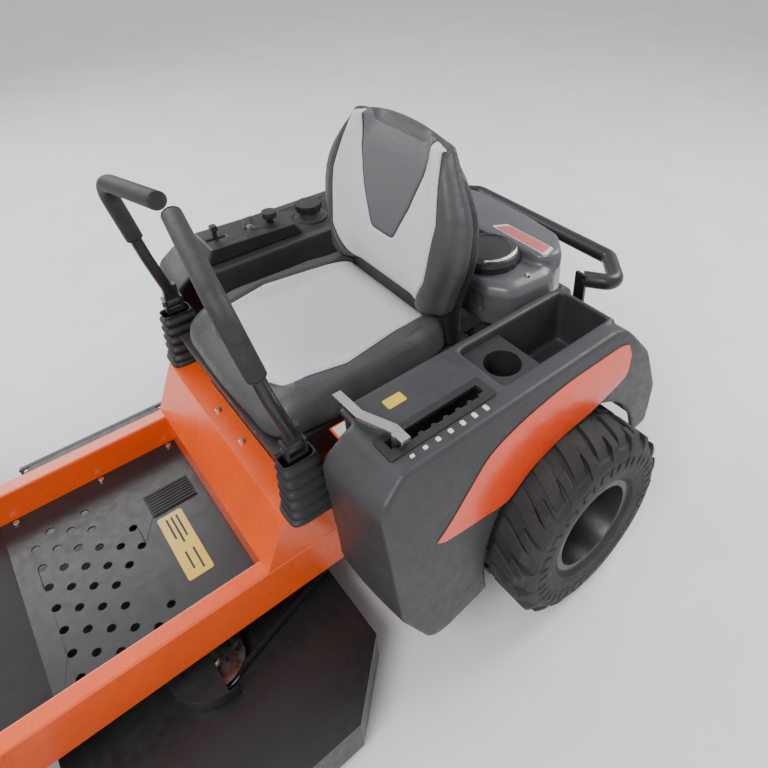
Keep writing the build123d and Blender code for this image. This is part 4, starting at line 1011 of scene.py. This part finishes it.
def make_engine_cover():
    """Lobed blower housing with a raised bridge and an air-cleaner dome."""
    y = E_LOW.y
    centre = (0.0, y + 0.15)
    outline = round_outline([(-0.262, y + 0.040), (-0.205, y + 0.002), (-0.070, y + 0.006),
                             (0.020, y + 0.002), (0.205, y + 0.002), (0.262, y + 0.040),
                             (0.274, y + 0.160), (0.214, y + 0.264), (0.112, y + 0.292),
                             (-0.112, y + 0.292), (-0.214, y + 0.264), (-0.274, y + 0.160)],
                            0.045, 5)
    z0 = E_LOW.z
    sections = [(1.0, z0 + 0.001), (1.0, z0 + 0.055), (0.985, z0 + 0.082), (0.95, z0 + 0.100),
                (0.88, z0 + 0.110)]
    rings = [[(px, py, z) for px, py in scaled_outline(outline, share, centre)]
             for share, z in sections]
    bridge = round_outline([(-0.215, y + 0.150), (-0.080, y + 0.135), (0.090, y + 0.142),
                            (0.236, y + 0.158), (0.254, y + 0.215), (0.190, y + 0.272),
                            (0.070, y + 0.286), (-0.120, y + 0.286), (-0.205, y + 0.262)], 0.04, 5)
    rise = [(1.0, z0 + 0.09), (1.0, z0 + 0.122), (0.97, z0 + 0.134), (0.90, z0 + 0.138)]
    bridge_rings = [[(px, py, z) for px, py in scaled_outline(bridge, share, (0.02, y + 0.21))]
                    for share, z in rise]
    grooves = [block((-0.235 + 0.030 * i, y - 0.01, z0 + 0.030),
                     (-0.223 + 0.030 * i, y + 0.012, z0 + 0.075))
               for i in range(16)]
    body = combined(loft(rings), grooves, [loft(bridge_rings)])
    cover = add_piece("blower_housing", moulded(body, 0.0045, 3), M["engine_plastic"], "chassis",
                      ["engine_cover"], smooth=60)
    cx, cy, r = 0.120, y + 0.092, 0.080
    ridge = []
    for radius, z in ((r, z0 + 0.105), (r, z0 + 0.126), (r - 0.006, z0 + 0.136),
                      (r - 0.020, z0 + 0.142), (r - 0.024, z0 + 0.139), (r - 0.045, z0 + 0.141),
                      (0.016, z0 + 0.143)):
        ridge.append([(cx + radius * cos(2 * pi * i / 64) * (1 - 0.02 * (i % 4 == 0)),
                       cy + radius * sin(2 * pi * i / 64) * (1 - 0.02 * (i % 4 == 0)), z)
                      for i in range(64)])
    add_piece("air_cleaner_dome", loft(ridge), M["black_plastic"], "chassis",
              smooth=30)
    arc = []
    for i in range(25):
        a = radians(-52 + 104 * i / 24)
        width = 0.0008 + 0.0050 * sin(pi * i / 24)
        inner, outer = r - 0.010 - width, r - 0.010 + width * 0.3
        arc.append([(cx + q * cos(a), cy + q * sin(a), z)
                    for q, z in ((inner, z0 + 0.134), (outer, z0 + 0.134),
                                 (outer, z0 + 0.1415), (inner, z0 + 0.1440))])
    add_piece("air_cleaner_trim", loft(arc), M["bare_steel"], "chassis")
    top = z0 + 0.1385
    strip = [(0.060, y + 0.172), (0.080, y + 0.205), (0.218, y + 0.206), (0.226, y + 0.172)]
    frame_strip = scaled_outline(strip, 1.14, (0.147, y + 0.189))
    add_piece("cover_label_frame",
              prism(2, round_outline(frame_strip, 0.007), top - 0.006, top + 0.0008),
              M["decal_white"], "chassis")
    add_piece("cover_label", prism(2, round_outline(strip, 0.005), top - 0.004, top + 0.0014),
              M["decal_red"], "chassis")
    for i, (bx, by) in enumerate(((0.238, y + 0.110), (-0.238, y + 0.110), (0.0, y + 0.060))):
        hexagon = [(bx + 0.0075 * cos(pi * k / 3), by + 0.0075 * sin(pi * k / 3)) for k in range(6)]
        bolt = add_piece(f"cover_bolt_{i + 1}", prism(2, hexagon, z0 + 0.095, z0 + 0.113),
                         M["bare_steel"], "chassis")
        ease_edges(bolt, 0.001)
    return cover


# ---------------------------------------------------------------- deck belt
V_SECTION = ((0.0015, 0.0065), (0.0015, -0.0065), (-0.0065, -0.0040), (-0.0065, 0.0040))


def make_belt():
    """V belt round both spindle pulleys and the engine pulley."""
    low, high = (Vector(corner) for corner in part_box("deck_belt"))
    spindle = (Vector(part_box("left_spindle")[0]) + Vector(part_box("left_spindle")[1])) / 2
    crank = (Vector(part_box("crank_pulley")[0]) + Vector(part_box("crank_pulley")[1])) / 2
    large = high.x - spindle.x
    wheels = [(-spindle.x, spindle.y, large), (spindle.x, spindle.y, large),
              (crank.x, crank.y, high.y - crank.y)]
    points = []
    for cx, cy, r in wheels:
        r -= 0.002
        points += [(cx + r * cos(2 * pi * i / 60), cy + r * sin(2 * pi * i / 60))
                   for i in range(60)]
    path = convex_path(points)
    z = (low.z + high.z) / 2
    rings = []
    count = len(path)
    for i in range(count):
        here = Vector(path[i])
        tangent = (Vector(path[(i + 1) % count]) - Vector(path[i - 1])).normalized()
        out = Vector((tangent.y, -tangent.x))
        rings.append([(here.x + out.x * u, here.y + out.y * u, z + v) for u, v in V_SECTION])
    belt = add_piece("v_belt", closed_skin(rings), M["soft_rubber"], None, ["deck_belt"])
    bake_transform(belt)


def convex_path(points):
    """Counter-clockwise convex hull, with long straights divided."""
    ordered = sorted(set((round(x, 6), round(y, 6)) for x, y in points))
    hull = []
    for sweep in (ordered, ordered[::-1]):
        chain = []
        for p in sweep:
            while len(chain) > 1 and ((chain[-1][0] - chain[-2][0]) * (p[1] - chain[-2][1])
                                      - (chain[-1][1] - chain[-2][1]) * (p[0] - chain[-2][0])) <= 0:
                chain.pop()
            chain.append(p)
        hull += chain[:-1]
    path = []
    for a, b in zip(hull, hull[1:] + hull[:1]):
        parts = max(1, int((Vector(b) - Vector(a)).length / 0.02))
        path += [tuple(Vector(a).lerp(Vector(b), k / parts)) for k in range(parts)]
    return path


# ---------------------------------------------------------------- surroundings
def make_floor():
    """Plain pale floor."""
    material, tree, shader = new_material("studio_floor", (0.78, 0.78, 0.77), 0.6)
    tree.links.new(add_ramp(tree, add_noise(tree, 3.0), (0.76, 0.76, 0.75), (0.80, 0.80, 0.79)),
                   shader.inputs["Base Color"])
    bm = bmesh.new()
    corners = [bm.verts.new(p) for p in ((-12, -12, 0), (12, -12, 0), (12, 12, 0), (-12, 12, 0))]
    bm.faces.new(corners)
    floor = add_piece("studio_floor", bm, material, None)


def add_area(name, location, target, size, energy):
    """Soft area light aimed at a point."""
    data = bpy.data.lights.new(name, "AREA")
    data.shape = "DISK"
    data.size = size
    data.energy = energy
    light = bpy.data.objects.new(name, data)
    light.location = location
    light.rotation_euler = (Vector(target) - Vector(location)).to_track_quat("-Z", "Y").to_euler()
    bpy.context.scene.collection.objects.link(light)


CAMERA_PLACE = (1.0778, -0.3677, 1.5204)
CAMERA_TILT = 56.7
CAMERA_TURN = 49.2
CAMERA_LENS = 30.27
CAMERA_SHIFT = (-0.0911, -0.1527)


def make_studio():
    """World, lights and camera."""
    world = bpy.data.worlds.new("studio")
    bpy.context.scene.world = world
    world.use_nodes = True
    background = world.node_tree.nodes["Background"]
    background.inputs["Color"].default_value = (0.93, 0.95, 1.0, 1)
    background.inputs["Strength"].default_value = 0.75
    add_area("key", (1.6, -2.6, 3.6), (0, 0, 0.4), 2.2, 150)
    add_area("fill", (-3.2, -0.6, 2.6), (0, 0, 0.4), 2.6, 80)
    add_area("rim", (0.8, 3.2, 3.0), (0, 0.1, 0.5), 2.0, 110)
    data = bpy.data.cameras.new("camera")
    data.sensor_width = 36
    data.lens = CAMERA_LENS
    data.shift_x, data.shift_y = CAMERA_SHIFT
    camera = bpy.data.objects.new("camera", data)
    camera.location = CAMERA_PLACE
    camera.rotation_euler = (radians(CAMERA_TILT), 0, radians(CAMERA_TURN))
    bpy.context.scene.collection.objects.link(camera)
    bpy.context.scene.camera = camera


# ---------------------------------------------------------------- the whole
def build():
    """Every piece over its node."""
    dress_cad_nodes()
    for side in ("left", "right"):
        make_drive_tyre(side)
        make_caster_tyre(side)
    make_fenders()
    make_cushion()
    make_backrest()
    make_seat_shell()
    for side in ("left", "right"):
        make_boot(side)
    make_height_gate()
    make_label_bracket()
    make_labels()
    make_engine_cover()
    make_belt()
    make_floor()
    make_studio()


build()
